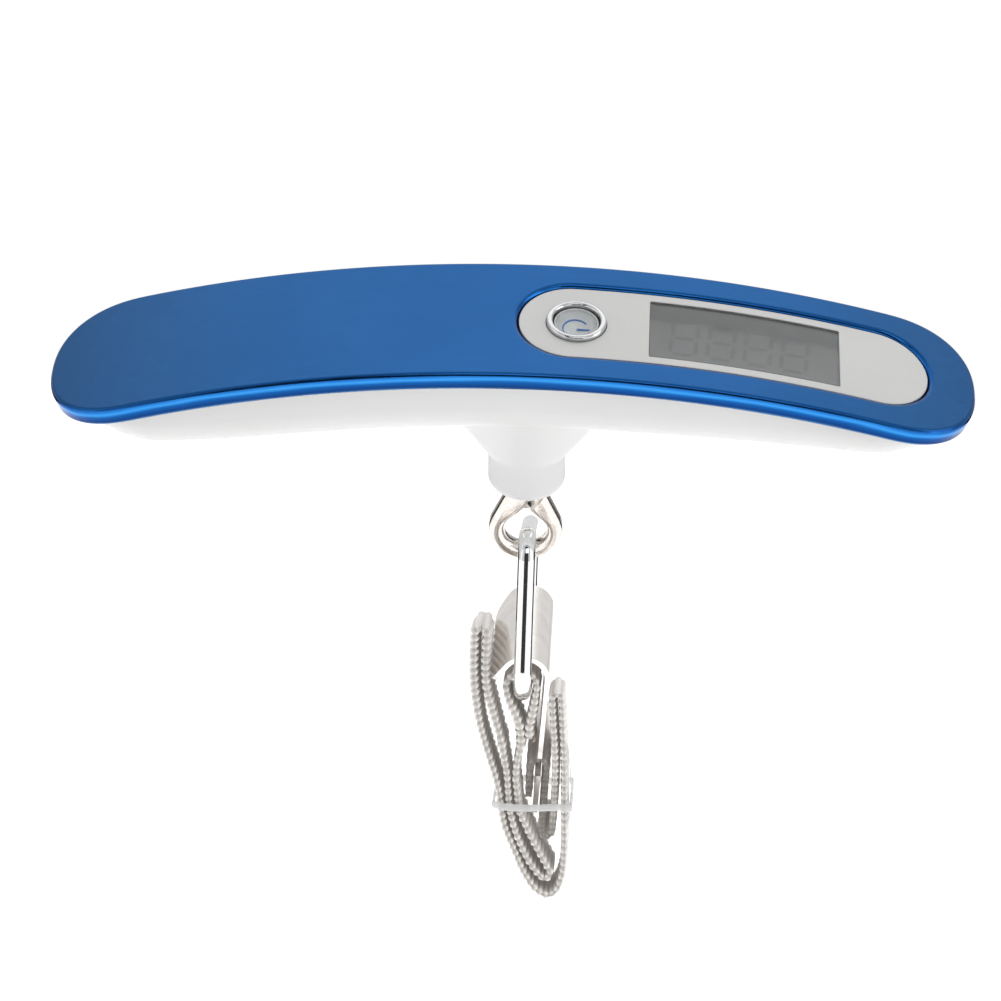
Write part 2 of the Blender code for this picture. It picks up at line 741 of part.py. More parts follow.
def strap_route():
    """The strap's centre line in mm from the ring's lower bar: x, z, shift along y, tilt in degrees."""
    hook_end = [by_hook(1.42, -31.5), by_hook(1.45, -28.5), by_hook(1.64, -25.6)]
    hook_return = [by_hook(4.42, -25.6), by_hook(4.2, -29.5), (4.1, -17.4, 10.9, 21), (4.0, -20.4, 9.6, 16)]
    low_fold = [(3.95, -23.6, 7.2, 11), (5.75, -23.6, 5.4, 8)]
    inner_right = [(6.0, -19.5, 3.5, 5), (6.05, -15, 1, 1), *flat((5.95, -11), (5.5, -6), (5.15, -1.2))]
    outer_right = flat((6.7, -1.2), (7.05, -6), (7.5, -12), (7.75, -18), (7.95, -23), (8.05, -27))
    bottom = flat((7.9, -31), (7.0, -34.2), (5.3, -35.2), (3.2, -34.1), (1.1, -31.2), (-0.6, -27.5))
    outer_left = flat((-2.3, -23.6), (-3.0, -20.4), (-3.4, -18.0), (-4.4, -14.4), (-6.1, -9.6), (-7.4, -5))
    outer_left += flat((-8.2, 0), (-8.5, 4), (-8.5, 9.6))
    inner_left = flat((-6.45, 9.6), (-6.5, 4), (-6.1, 0), (-4.8, -4.4), (-3.4, -9), (-2.3, -14))
    inner_left += flat((-1.85, -18.0), (-1.5, -20.6), (-0.5, -24.2), (0.8, -27.2), (2.4, -30.0), (4.2, -32.0))
    middle = flat((5.5, -30.7), (4.2, -28.6), (2.8, -26.2), (1.35, -23.4), (0.05, -20.6), (-0.3, -18.0))
    middle += flat((-0.7, -15.0), (-0.5, -12.0), (0.0, -9.4), (-0.2, -6.6), (-1.3, -3.8), (-2.6, -1.0))
    loop = flat((-2.6, 1.6), (-0.15, 3.6), (2.2, 1.6), (2.2, -1.0), (1.8, -4.0), (1.35, -6.4), (1.4, -8.3))
    return [
        *hook_end,
        *u_turn(hook_end[-1], hook_return[0], -1),
        *hook_return,
        *low_fold[:1],
        *u_turn(low_fold[0], low_fold[1], 1),
        *low_fold[1:],
        *inner_right,
        *u_turn(inner_right[-1], outer_right[0], -1),
        *outer_right,
        *bottom,
        *outer_left,
        *u_turn(outer_left[-1], inner_left[0], -1),
        *inner_left,
        *u_turn(inner_left[-1], middle[0], 1),
        *middle,
        *loop,
    ]


def smooth_route(points, step):
    """Evenly spaced points of a Catmull-Rom curve through the route."""
    knots = np.array(points, float)
    padded = np.vstack([2 * knots[0] - knots[1], knots, 2 * knots[-1] - knots[-2]])
    fine = []
    for i in range(len(knots) - 1):
        a, b, c, d = padded[i : i + 4]
        for t in np.linspace(0, 1, 12, endpoint=False):
            fine.append(
                0.5 * (2 * b + (c - a) * t + (2 * a - 5 * b + 4 * c - d) * t**2 + (3 * b - a - 3 * c + d) * t**3)
            )
    fine = np.array([*fine, knots[-1]])
    lengths = np.concatenate([[0], np.cumsum(np.linalg.norm(np.diff(fine[:, :3], axis=0), axis=1))])
    stops = np.linspace(0, lengths[-1], round(lengths[-1] / step) + 1)
    return np.column_stack([np.interp(stops, lengths, fine[:, k]) for k in range(4)])


def strap_mesh():
    """A flat strip swept along the route, each cross section a rectangle across the strip."""
    route = smooth_route(strap_route(), 1.15)
    bm = bmesh.new()
    rings = []
    for i, (x, z, shift, tilt) in enumerate(route):
        before, after = route[max(i - 1, 0)], route[min(i + 1, len(route) - 1)]
        across = Vector((0, math.cos(math.radians(tilt)), math.sin(math.radians(tilt))))
        along = Vector((after[0] - before[0], after[2] - before[2], after[1] - before[1])).normalized()
        out = along.cross(across).normalized()
        centre = Vector((x, shift, z)) * MM
        ring = []
        for side, face in ((1, 1), (-1, 1), (-1, -1), (1, -1)):
            ring.append(bm.verts.new(centre + across * side * WEB_HALF + out * face * WEB_THICK / 2))
        rings.append(ring)
    for first, second in zip(rings, rings[1:]):
        for i in range(4):
            j = (i + 1) % 4
            bm.faces.new((first[i], first[j], second[j], second[i]))
    bm.faces.new(rings[0])
    bm.faces.new(rings[-1])
    return mesh_from(bm)


def tie_band():
    low, high = (-4.3 * MM, -10.6 * MM), (8.8 * MM, 20.6 * MM)
    wall = 0.5 * MM
    outer = box_mesh((low[0] - wall, low[1] - wall, -20.9 * MM), (high[0] + wall, high[1] + wall, -18.9 * MM), 1.3 * MM)
    inner = box_mesh((*low, -30 * MM), (*high, -10 * MM), 0.8 * MM)
    return cut(outer, inner)


# ---------------------------------------------------------------- assembly

clear_scene()
PARTS = new_collection("digital_luggage_scale")
CUTTERS = new_collection("cutters")


def empty(name, parent=None, matrix=None):
    made = bpy.data.objects.new(name, None)
    made.empty_display_size = 5 * MM
    PARTS.objects.link(made)
    made.parent = parent
    if matrix:
        made.matrix_local = matrix
    return made


def add(name, mesh, look, parent, location=None, matrix=None):
    """A part. A mesh drawn in its parent's frame moves back by the location that its origin takes."""
    obj = add_object(name, mesh, look, PARTS, parent)
    if location:
        mesh.transform(Matrix.Translation(-Vector(location)))
        obj.location = location
    if matrix:
        obj.matrix_local = matrix
    mesh.shade_smooth()
    mesh.set_sharp_from_angle(angle=math.radians(35))
    return obj


handle = empty("handle_frame", matrix=Matrix.Rotation(LEAN, 4, "X"))
display = empty("display_frame", handle, arch_frame(DISPLAY_S))
button = empty("button_frame", handle, arch_frame(BUTTON_S))
battery = empty("battery_frame", handle, arch_frame(BATTERY_S))

add("top_cover", top_cover(), BLUE, handle)
add("lower_housing", lower_housing(), WHITE, handle)
add("battery_door", battery_door(), WHITE, handle, location=on_arch(BATTERY_S, 0, -15 * MM))

add("lens_panel", lens_panel(), SILVER, handle)
add("display_window", display_window(), CLEAR, handle)
add("lcd_glass", centred_box(LCD, LCD_LEVELS), GLASS, display)
add("backlight_diffuser", centred_box((34 * MM, 13 * MM), LIGHT_LEVELS), WHITE, display)
for way, side in ((-1, "front"), (1, "rear")):
    strip = centred_box((30 * MM, 1.2 * MM), LIGHT_LEVELS, (0, way * 7.6 * MM))
    add(f"zebra_strip_{side}", strip, RUBBER, display)
add("circuit_board", circuit_board(), GREEN, display)
add("controller_chip", centred_box((7 * MM, 7 * MM), (-8.9 * MM, -7.9 * MM), (8 * MM, 0)), BLACK, display)
for way, side in ((-1, "front"), (1, "rear")):
    place = (BOARD_SCREW[0], way * BOARD_SCREW[1], BOARD_LEVELS[1] + GAP)
    screw = cap_screw(1.9 * MM, 1.0 * MM, 0.9 * MM, 4.5 * MM)
    add(f"board_screw_{side}", screw, STEEL, display, matrix=Matrix.Translation(place))

add("button_ring", button_ring(), CHROME, button)
add("power_button", power_button(), CLEAR, button)
switch_place = (-28.0 * MM, 0)
switch = centred_box((4.5 * MM, 4.5 * MM), (-6.3 * MM, -5.7 * MM), switch_place)
add("tactile_switch", switch, BLACK, display)

add("load_cell", load_cell(), ALUMINIUM, handle)
for way, side in ((-1, "left"), (1, "right")):
    screw = cap_screw(2.5 * MM, 1.4 * MM, 1.3 * MM, 4.0 * MM)
    place = (way * BEAM_SCREW_X, 0, BEAM_TOP - 1.7 * MM)
    add(f"load_cell_screw_{side}", screw, STEEL, handle, matrix=Matrix.Translation(place))
    gauge_low = BEAM_BOTTOM - GAP - 0.4 * MM
    gauge = centred_box((4.5 * MM, 7 * MM), (gauge_low, gauge_low + 0.4 * MM), (way * 10.5 * MM, 0))
    add(f"strain_gauge_{side}", gauge, FOIL, handle)

stem_base = (0, 0, BAR_IN_EYE)
add("eye_hook", eye_hook(), NICKEL, handle, location=stem_base)
washer = ring_band(4.2 * MM, STEM_R + GAP, BEAM_TOP + GAP, BEAM_TOP + 0.9 * MM)
add("stem_washer", washer, STEEL, handle, location=stem_base)
nut = hexagon_nut(7.0 * MM, BEAM_TOP + 1.2 * MM, BEAM_TOP + 3.2 * MM, STEM_R + GAP)
add("stem_nut", nut, STEEL, handle, location=stem_base)
bush = ring_band(STEM_BORE - GAP, STEM_R + GAP, NECK_BOTTOM + GAP, NECK_BOTTOM + 6 * MM)
add("stem_bush", bush, BLACK, handle)

add("coin_cell", cylinder_mesh(BATTERY_R, *BATTERY_LEVELS, 32), STEEL, battery)
carrier = box_mesh((-12 * MM, -10.4 * MM, -5.9 * MM), (12 * MM, 10.4 * MM, -4.7 * MM), corner=2 * MM)
add("battery_carrier", carrier, BLACK, battery)
spring = contact_strip(
    [(-8 * MM, -6.4 * MM), (-3 * MM, -6.4 * MM), (0, -7.5 * MM), (3 * MM, -7.5 * MM), (4 * MM, -7.1 * MM)],
    3.5 * MM,
    0.3 * MM,
)
add("battery_spring_contact", spring, BRASS, battery)
side_path = [(8 * MM, -6.4 * MM), (10.7 * MM, -6.4 * MM), (10.9 * MM, -6.6 * MM), (10.6 * MM, -10.5 * MM)]
add("battery_side_contact", contact_strip(side_path, 4 * MM, 0.3 * MM), BRASS, battery)

lead_stops = ((-27, -6.5, 8.8), (-20, -8.2, 8.9), (-10, -8.6, 8.9), (-2, -8.2, 8.9), (1.5, -7.0, 8.8))
for name, look, way in (("battery_lead_red", RED, -1), ("battery_lead_black", BLACK, 1)):
    knots = [(s, h, way * y, 0.0) for s, h, y in lead_stops]
    route = smooth_route(knots, 2.5)
    add(name, tube_mesh([on_arch(s * MM, y * MM, h * MM) for s, h, y, _ in route], 0.5 * MM), look, handle)
gauge_stops = [(7.6, -14.0, 2.4, 0), (6.8, -13.9, 4.6, 0), (6.4, -13.0, 6.4, 0), (6.2, -11, 7.0, 0), (6.4, -8.6, 7.2, 0)]
gauge_route = smooth_route(gauge_stops, 1.5)
gauge_lead = tube_mesh([(x * MM, y * MM, TOP + z * MM) for x, z, y, _ in gauge_route], 0.35 * MM)
add("gauge_lead", gauge_lead, RED, handle)

upper_bar = bar_in_world()
ring = empty("ring_frame", matrix=Matrix.Translation(upper_bar))
lower_bar = empty("lower_bar_frame", ring, Matrix.Translation((0, 0, -RING_DROP)))
add("wire_ring", tube_mesh(ring_points(), WIRE_R, cyclic=True), CHROME, ring)
hook_matrix = Matrix.Translation((0, *HOOK_RIDGE)) @ Matrix.Rotation(HOOK_LEAN, 4, "X")
add("hook_plate", placed(hook_plate(), hook_matrix), NICKEL, lower_bar)
add("webbing_strap", strap_mesh(), WEBBING, lower_bar)
add("tie_band", tie_band(), CLEAR, lower_bar)

for leftover in list(CUTTERS.objects):
    leftover.hide_render = True
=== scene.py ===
"""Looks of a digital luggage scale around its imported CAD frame: arched blue and white handle with a display,
swivel eye, wire ring, bent sheet hook and a folded ribbed webbing strap with its tie."""

import json
import math

import bmesh
import bpy
import numpy as np
from mathutils import Matrix, Vector


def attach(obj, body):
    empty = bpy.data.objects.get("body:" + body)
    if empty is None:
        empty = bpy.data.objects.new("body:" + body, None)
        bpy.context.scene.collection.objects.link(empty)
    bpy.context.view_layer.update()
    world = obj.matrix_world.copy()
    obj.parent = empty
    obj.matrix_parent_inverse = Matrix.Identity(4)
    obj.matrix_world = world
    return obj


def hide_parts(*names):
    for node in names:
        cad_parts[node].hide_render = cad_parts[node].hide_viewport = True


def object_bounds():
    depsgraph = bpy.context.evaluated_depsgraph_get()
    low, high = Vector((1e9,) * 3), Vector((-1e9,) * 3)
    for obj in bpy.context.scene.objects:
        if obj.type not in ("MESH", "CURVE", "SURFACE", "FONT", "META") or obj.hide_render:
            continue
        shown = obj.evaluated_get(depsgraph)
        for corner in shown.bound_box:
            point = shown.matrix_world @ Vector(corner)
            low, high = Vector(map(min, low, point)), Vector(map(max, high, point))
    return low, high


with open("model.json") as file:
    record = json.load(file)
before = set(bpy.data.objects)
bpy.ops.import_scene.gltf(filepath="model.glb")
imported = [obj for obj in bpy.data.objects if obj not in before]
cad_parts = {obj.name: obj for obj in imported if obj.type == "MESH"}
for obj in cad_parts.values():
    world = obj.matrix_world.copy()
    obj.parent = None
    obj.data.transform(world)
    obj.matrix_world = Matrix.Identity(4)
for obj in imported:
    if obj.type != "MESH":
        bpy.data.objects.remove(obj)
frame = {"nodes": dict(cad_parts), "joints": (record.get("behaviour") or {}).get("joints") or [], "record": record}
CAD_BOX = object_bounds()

MM = 0.001
JOINTS = {joint["name"]: joint for joint in frame["joints"]}
MOUNTS = {mount["name"]: mount for mount in frame["record"]["mounts"]}
GRIP_AXIS = Vector(MOUNTS["hand_grip"]["axis"])
LEAN = math.atan2(-GRIP_AXIS.y, GRIP_AXIS.z)
HANDLE = Matrix.Rotation(LEAN, 4, "X")
UPPER_BAR = Vector(JOINTS["ring_swing"]["pos_m"])
LOWER_BAR = Vector(JOINTS["strap_swing"]["pos_m"])

# The arch: s runs along it, h is the height above the top surface.
ARCH = 229 * MM
TOP = 8.5 * MM
FINE_SLICE = 2 * MM
END_POWER = 2.3

COVER_ENDS = (-82.0 * MM, 76.1 * MM)
COVER_HALF = 14.9 * MM
COVER_ROUND = 15.5 * MM
COVER_PLATE = 1.2 * MM
COVER_SKIRT = 3.45 * MM
COVER_WALL = 1.2 * MM

SLOT_ENDS = (-2.0 * MM, 67.8 * MM)
SLOT_HALF = 9.2 * MM
BUTTON_HOLE = 5.05 * MM
PANEL_TOP = -0.45 * MM
PANEL_BOTTOM = -3.0 * MM
PANEL_GAP = 0.25 * MM

DISPLAY_S = 36 * MM
WINDOW = (32.1 * MM, 14.4 * MM)
SCREEN_LEVEL = -1.0 * MM
BUTTON_S = 7.8 * MM
BATTERY_S = -42 * MM
DOOR = (14 * MM, 10.8 * MM)

HULL_ENDS = (-79.4 * MM, 73.9 * MM)
HULL_HALF = 13.4 * MM
HULL_ROUND = 15.0 * MM
HULL_DEPTH = 16.5 * MM
HULL_CORNER = 8.0 * MM
HULL_RIM = -1.5 * MM
HULL_WALL = 1.8 * MM
HULL_TIP_DEPTH = 1.8 * MM
HULL_BELLY_POWER = 1.2
# How the hull thins towards each end: the share lost at the tip, and the power it is lost by.
HULL_THINNING = ((0.48, 5), (0.42, 2.13))
CAVITY_BREADTH = 8 * MM
CAVITY_SHARE = 0.993

NECK_BOTTOM = TOP - 36.4 * MM
NECK_R = 6.6 * MM
NECK_SQUASH = 0.86
NECK_RIM = 2.6 * MM
# The neck spreads into the hull: level from TOP, then how far it stands out along x and along y, in mm.
NECK_FLARE = (
    (-12, 9.5, 3.8),
    (-16, 8.9, 3.6),
    (-18, 7.4, 2.8),
    (-21, 5.2, 1.8),
    (-24.2, 3.0, 0.9),
    (-25.9, 1.9, 0.5),
    (-27.2, 0.8, 0.2),
    (-28.4, 0, 0),
)
STEM_BORE = 3.6 * MM
STEM_R = 2.2 * MM

EYE_Z = TOP - 46.1 * MM
EYE_OUTER = 6.4 * MM
EYE_INNER = 3.75 * MM
EYE_DEPTH = 3.4 * MM
EYE_ROUND = 1.15 * MM
WIRE_R = 1.5 * MM
RING_HALF = 14.5 * MM
RING_DROP = (UPPER_BAR - LOWER_BAR).z
RING_CORNER = 4.0 * MM

HOOK_LEAN = math.radians(23.5)
HOOK_HALF = 12.5 * MM
HOOK_SHEET = 0.9 * MM
HOOK_RIDGE = (-1.0 * MM, 12.6 * MM)
HOOK_SLOT = (-25.5 * MM, -22.0 * MM)
# The radius of each corner of the hook's lip, and the side it is on.
LIP_CORNERS = ((4.5 * MM, 1), (1 * MM, -1))

WEB_HALF = 10 * MM
WEB_THICK = 1.3 * MM
WEB_THICK_IN_FOLD = 1.75 * MM
WEB_THICK_IN_SEAM = 1.7 * MM
RIB_PITCH = 1.15 * MM
# How many steps of the route one sideways wobble of the webbing lasts.
WOBBLE_SPAN = 24

# The tie round the folds, in mm from the ring's lower bar: x and y of two corners, corner radius and height.
TIE_LOW = (-4.45, -10.75)
TIE_HIGH = (8.95, 20.75)
TIE_CORNER = 1.7
TIE_LEVEL = -19.9


# ---- mesh helpers


def full_turn(sides):
    """Angles evenly round a circle."""
    return [2 * math.pi * i / sides for i in range(sides)]


def closed_path(points, spacing):
    """A closed outline with points added, so that none lie much further apart than spacing."""
    dense = []
    for first, second in zip(points, points[1:] + points[:1]):
        count = max(1, round((second - first).length / spacing))
        dense += [first.lerp(second, i / count) for i in range(count)]
    return dense


def linked(name, data):
    obj = bpy.data.objects.new(name, data)
    bpy.context.scene.collection.objects.link(obj)
    return obj


def helper_object(mesh):
    return linked("helper", mesh)


def drop(*objects):
    for obj in objects:
        bpy.data.objects.remove(obj, do_unlink=True)


def mesh_from(bm):
    bmesh.ops.recalc_face_normals(bm, faces=bm.faces)
    mesh = bpy.data.meshes.new("shape")
    bm.to_mesh(mesh)
    bm.free()
    return mesh


def evaluated_mesh(obj):
    bpy.context.view_layer.update()
    graph = bpy.context.evaluated_depsgraph_get()
    return bpy.data.meshes.new_from_object(obj.evaluated_get(graph))


def box_mesh(low, high, corner=0.0, segments=6):
    bm = bmesh.new()
    bmesh.ops.create_cube(bm, size=1)
    size = Vector(high) - Vector(low)
    bmesh.ops.scale(bm, vec=size, verts=bm.verts)
    bmesh.ops.translate(bm, vec=(Vector(high) + Vector(low)) / 2, verts=bm.verts)
    if corner:
        upright = [e for e in bm.edges if abs((e.verts[0].co - e.verts[1].co).z) > size.z / 2]
        bmesh.ops.bevel(bm, geom=upright, offset=corner, segments=segments, profile=0.5, affect="EDGES")
    return mesh_from(bm)


def cylinder_mesh(radius, low, high, sides=48, centre=(0, 0)):
    bm = bmesh.new()
    bmesh.ops.create_cone(bm, cap_ends=True, segments=sides, radius1=radius, radius2=radius, depth=high - low)
    bmesh.ops.translate(bm, vec=(centre[0], centre[1], (low + high) / 2), verts=bm.verts)
    return mesh_from(bm)


def outline_mesh(points, low, high):
    """A flat outline in x and y, filled and extruded from low to high."""
    curve = bpy.data.curves.new("outline", "CURVE")
    curve.dimensions = "2D"
    curve.fill_mode = "BOTH"
    curve.extrude = (high - low) / 2
    spline = curve.splines.new("POLY")
    spline.points.add(len(points) - 1)
    for point, (x, y) in zip(spline.points, points):
        point.co = (x, y, 0, 1)
    spline.use_cyclic_u = True
    guide = helper_object(curve)
    mesh = evaluated_mesh(guide)
    drop(guide)
    mesh.transform(Matrix.Translation((0, 0, (high + low) / 2)))
    bm = bmesh.new()
    bm.from_mesh(mesh)
    bmesh.ops.remove_doubles(bm, verts=bm.verts, dist=1e-7)
    bmesh.ops.dissolve_limit(bm, angle_limit=0.001, verts=bm.verts, edges=bm.edges)
    return mesh_from(bm)


def turned_mesh(profile, sides=96):
    """A profile of (radius, z), running from top to bottom, turned round Z."""
    bm = bmesh.new()
    rings = []
    for radius, z in profile:
        if radius < 1e-9:
            rings.append([bm.verts.new((0, 0, z))])
            continue
        turn = full_turn(sides)
        rings.append([bm.verts.new((radius * math.cos(a), radius * math.sin(a), z)) for a in turn])
    for first, second in zip(rings, rings[1:]):
        for i in range(sides):
            j = (i + 1) % sides
            if len(first) == 1:
                bm.faces.new((first[0], second[i], second[j]))
            elif len(second) == 1:
                bm.faces.new((first[i], second[0], first[j]))
            else:
                bm.faces.new((first[i], second[i], second[j], first[j]))
    if len(rings[0]) > 1 and profile[0] != profile[-1]:
        bm.faces.new(rings[0])
        bm.faces.new(rings[-1])
    bmesh.ops.remove_doubles(bm, verts=bm.verts, dist=1e-8)
    return mesh_from(bm)


def combine(base, others, operation):
    for other in others:
        guide, cutter = helper_object(base), helper_object(other)
        change = guide.modifiers.new("change", "BOOLEAN")
        change.operation = operation
        change.object = cutter
        base = evaluated_mesh(guide)
        drop(guide, cutter)
    return base


def cut(base, *others):
    return combine(base, others, "DIFFERENCE")


def join(base, *others):
    return combine(base, others, "UNION")


def meet(base, *others):
    return combine(base, others, "INTERSECT")


def rounded(mesh, width, segments=4, angle=50):
    guide = helper_object(mesh)
    bevel = guide.modifiers.new("bevel", "BEVEL")
    bevel.width = width
    bevel.segments = segments
    bevel.limit_method = "ANGLE"
    bevel.angle_limit = math.radians(angle)
    result = evaluated_mesh(guide)
    drop(guide)
    return result


def swept_mesh(rings, closed=False):
    """A skin over rings of points, each with as many points, capped unless the sweep closes on itself."""
    bm = bmesh.new()
    made = [[bm.verts.new(point) for point in ring] for ring in rings]
    pairs = list(zip(made, made[1:])) + ([(made[-1], made[0])] if closed else [])
    for first, second in pairs:
        for i in range(len(first)):
            j = (i + 1) % len(first)
            bm.faces.new((first[i], first[j], second[j], second[i]))
    if not closed:
        bm.faces.new(made[0])
        bm.faces.new(made[-1])
    return mesh_from(bm)


def tube(points, radius, sides=16, closed=False):
    """A round tube along points, with no twist. radius is one number, or one for each point."""
    path = [Vector(p) for p in points]
    count = len(path)
    radii = [radius] * count if isinstance(radius, float) else radius
    rings, side = [], None
    for i, place in enumerate(path):
        before = path[i - 1] if closed or i else path[0]
        after = path[(i + 1) % count] if closed or i < count - 1 else path[-1]
        along = (after - before).normalized()
        if side is None:
            side = along.orthogonal().normalized()
        side = (side - along * side.dot(along)).normalized()
        other = along.cross(side)
        arms = [side * math.cos(a) + other * math.sin(a) for a in full_turn(sides)]
        rings.append([place + arm * radii[i] for arm in arms])
    return swept_mesh(rings, closed)


def merged(meshes):
    bm = bmesh.new()
    for mesh in meshes:
        bm.from_mesh(mesh)
    joined = bpy.data.meshes.new("merged")
    bm.to_mesh(joined)
    bm.free()
    return joined


def placed(mesh, matrix):
    mesh.transform(matrix)
    return mesh


# ---- the arch


def on_arch(s, y, h):
    angle = s / ARCH
    return Vector(((ARCH + h) * math.sin(angle), y, (ARCH + h) * math.cos(angle) - ARCH + TOP))


def arch_frame(s):
    return Matrix.Translation(on_arch(s, 0, 0)) @ Matrix.Rotation(s / ARCH, 4, "Y")


def bend(mesh):
    """A flat mesh, with its top at z = 0, sliced along x and wrapped over the arch."""
    bm = bmesh.new()
    bm.from_mesh(mesh)
    bmesh.ops.dissolve_limit(bm, angle_limit=0.001, verts=bm.verts, edges=bm.edges)
    low = min(v.co.x for v in bm.verts)
    high = max(v.co.x for v in bm.verts)
    for step in range(math.ceil(low / FINE_SLICE), math.floor(high / FINE_SLICE) + 1):
        bmesh.ops.bisect_plane(
            bm,
            geom=[*bm.verts, *bm.edges, *bm.faces],
            dist=1e-7,
            plane_co=(step * FINE_SLICE, 0, 0),
            plane_no=(1, 0, 0),
        )
    for vert in bm.verts:
        vert.co = on_arch(*vert.co)
    bmesh.ops.remove_doubles(bm, verts=bm.verts, dist=1e-6)
    return mesh_from(bm)


def bow_half(s, ends, half, round_length):
    past = max(ends[0] + round_length - s, s - (ends[1] - round_length), 0) / round_length
    return half * max(1 - min(past, 1) ** END_POWER, 0) ** (1 / END_POWER)


def bow_outline(ends, half, round_length, inset=0.0, steps=26):
    """Points round a long outline with superellipse ends."""
    low, high = ends[0] + inset, ends[1] - inset
    reach, half = round_length - inset, half - inset
    points = []
    for end, way in ((high - reach, 1), (low + reach, -1)):
        for step in range(-steps, steps + 1):
            angle = step / steps * math.pi / 2
            along = abs(math.cos(angle)) ** (2 / END_POWER) * reach
            across = math.copysign(abs(math.sin(angle)) ** (2 / END_POWER), angle) * half
            points.append((end + way * along, way * across))
    return points


def stadium(ends, half, steps=28):
    points = []
    for end, way in ((ends[1] - half, 1), (ends[0] + half, -1)):
        for step in range(-steps, steps + 1):
            angle = step / steps * math.pi / 2
            points.append((end + way * half * math.cos(angle), way * half * math.sin(angle)))
    return points


def widened(ends, by):
    return (ends[0] - by, ends[1] + by)


def arc(centre, radius, start, end, steps):
    """Points (x, z) along an arc, angles in degrees."""
    turn = [math.radians(start + (end - start) * i / steps) for i in range(steps + 1)]
    return [(centre[0] + radius * math.cos(a), centre[1] + radius * math.sin(a)) for a in turn]


# ---- materials


def feed(tree, value, socket):
    """Links a socket to an output, or sets it to a constant."""
    if isinstance(value, bpy.types.NodeSocket):
        tree.links.new(value, socket)
    elif socket.type == "RGBA":
        socket.default_value = (*value, 1)
    else:
        socket.default_value = value


def add_node(tree, kind, **sockets):
    """A node with some of its sockets fed. An underscore in a socket's name stands for a space."""
    node = tree.nodes.new("ShaderNode" + kind)
    for socket, value in sockets.items():
        feed(tree, value, node.inputs[socket.replace("_", " ")])
    return node


def add_ramp(tree, value, stops):
    node = add_node(tree, "ValToRGB", Fac=value)
    elements = node.color_ramp.elements
    while len(elements) < len(stops):
        elements.new(0.5)
    for element, (position, colour) in zip(elements, stops):
        element.position = position
        element.color = (*colour, 1)
    return node.outputs["Color"]


class Look:
    """A Principled material whose nodes are added one call at a time. Lengths are in metres."""

    def __init__(self, name, **sockets):
        self.material = bpy.data.materials.new(name)
        self.material.use_nodes = True
        self.tree = self.material.node_tree
        self.shader = self.tree.nodes["Principled BSDF"]
        self.place = self.node("TexCoord").outputs["Object"]
        for socket, value in sockets.items():
            self.set(socket, value)

    def set(self, socket, value):
        feed(self.tree, value, self.shader.inputs[socket.replace("_", " ")])

    def node(self, kind, **sockets):
        return add_node(self.tree, kind, **sockets)

    def stretched(self, scale):
        return self.node("Mapping", Vector=self.place, Scale=scale).outputs["Vector"]

    def noise(self, size, detail=3.0, place=None):
        return self.node("TexNoise", Vector=place or self.place, Scale=1 / size, Detail=detail).outputs["Fac"]

    def attribute(self, name):
        node = self.node("Attribute")
        node.attribute_name = name
        return node.outputs["Fac"]

    def ramp(self, value, *stops):
        return add_ramp(self.tree, value, stops)

    def spread(self, value, low, high, start=0.3, end=0.7):
        node = self.node("MapRange", Value=value, From_Min=start, From_Max=end, To_Min=low, To_Max=high)
        return node.outputs["Result"]

    def blend(self, share, first, second):
        node = self.node("Mix")
        node.data_type = "RGBA"
        for socket, value in zip((0, 6, 7), (share, first, second)):
            feed(self.tree, value, node.inputs[socket])
        return node.outputs[2]

    def maths(self, operation, first, second):
        node = self.node("Math")
        node.operation = operation
        for socket, value in zip(node.inputs, (first, second)):
            feed(self.tree, value, socket)
        return node.outputs[0]

    def bump(self, height, depth, strength=1.0):
        node = self.node("Bump", Height=height, Strength=strength, Distance=depth)
        self.set("Normal", node.outputs["Normal"])


def shade(colour, factor):
    return tuple(min(c * factor, 1) for c in colour)


def blue_look():
    """Anodised blue plate: satin on top, polished over the rim, where the fall attribute runs from 0 to 1; the
    rim's colour holds bands of painted highlight and painted reflection, and painted shade darkens both ends.
    """
    look = Look("blue_anodised", Metallic=0.96, Coat_Weight=0.04, Coat_Roughness=0.12)
    fall = look.attribute("fall")
    cloud = look.noise(26 * MM, detail=2.0)
    top = look.ramp(cloud, (0.3, (0.0115, 0.096, 0.292)), (0.7, (0.0145, 0.11, 0.332)))
    streak = look.noise(3.5 * MM, detail=3.0, place=look.stretched((0.12, 1, 1)))
    level = look.maths("ADD", fall, look.spread(streak, -0.05, 0.05))
    # Painted highlight and painted reflection: a light line, then dark and lighter blue bands down the rim.
    rim = look.ramp(
        level,
        (0.02, (0.006, 0.06, 0.24)),
        (0.16, (0.015, 0.155, 0.5)),
        (0.3, (0.035, 0.265, 0.68)),
        (0.46, (0.004, 0.085, 0.325)),
        (0.72, (0.003, 0.035, 0.16)),
        (0.85, (0.02, 0.12, 0.32)),
        (1.0, (0.012, 0.06, 0.18)),
    )
    edge = look.spread(fall, 0.0, 1.0, start=0.0, end=0.06)
    # Painted shade: the plate's colour darkens towards both ends.
    ends_painted_shade = look.blend(look.attribute("endness"), top, (0.009, 0.073, 0.205))
    look.set("Base Color", look.blend(edge, ends_painted_shade, rim))
    grain = look.noise(0.5 * MM, detail=4.0, place=look.stretched((0.06, 1, 1)))
    satin = look.spread(grain, 0.33, 0.42)
    look.set("Roughness", look.maths("ADD", satin, look.maths("MULTIPLY", edge, -0.2)))
    look.bump(look.noise(0.35 * MM, detail=3.0), 0.002 * MM, 0.5)
    return look.material


def white_look():
    look = Look("white_plastic", IOR=1.46, Subsurface_Weight=0.06, Subsurface_Radius=(4 * MM,) * 3)
    cloud = look.noise(30 * MM, detail=2.0)
    look.set("Base Color", look.ramp(cloud, (0.3, (0.615, 0.615, 0.61)), (0.7, (0.65, 0.65, 0.65))))
    look.set("Roughness", look.spread(look.noise(4 * MM, detail=4.0), 0.3, 0.42))
    look.bump(look.noise(0.25 * MM, detail=2.0), 0.004 * MM, 0.5)
    return look.material


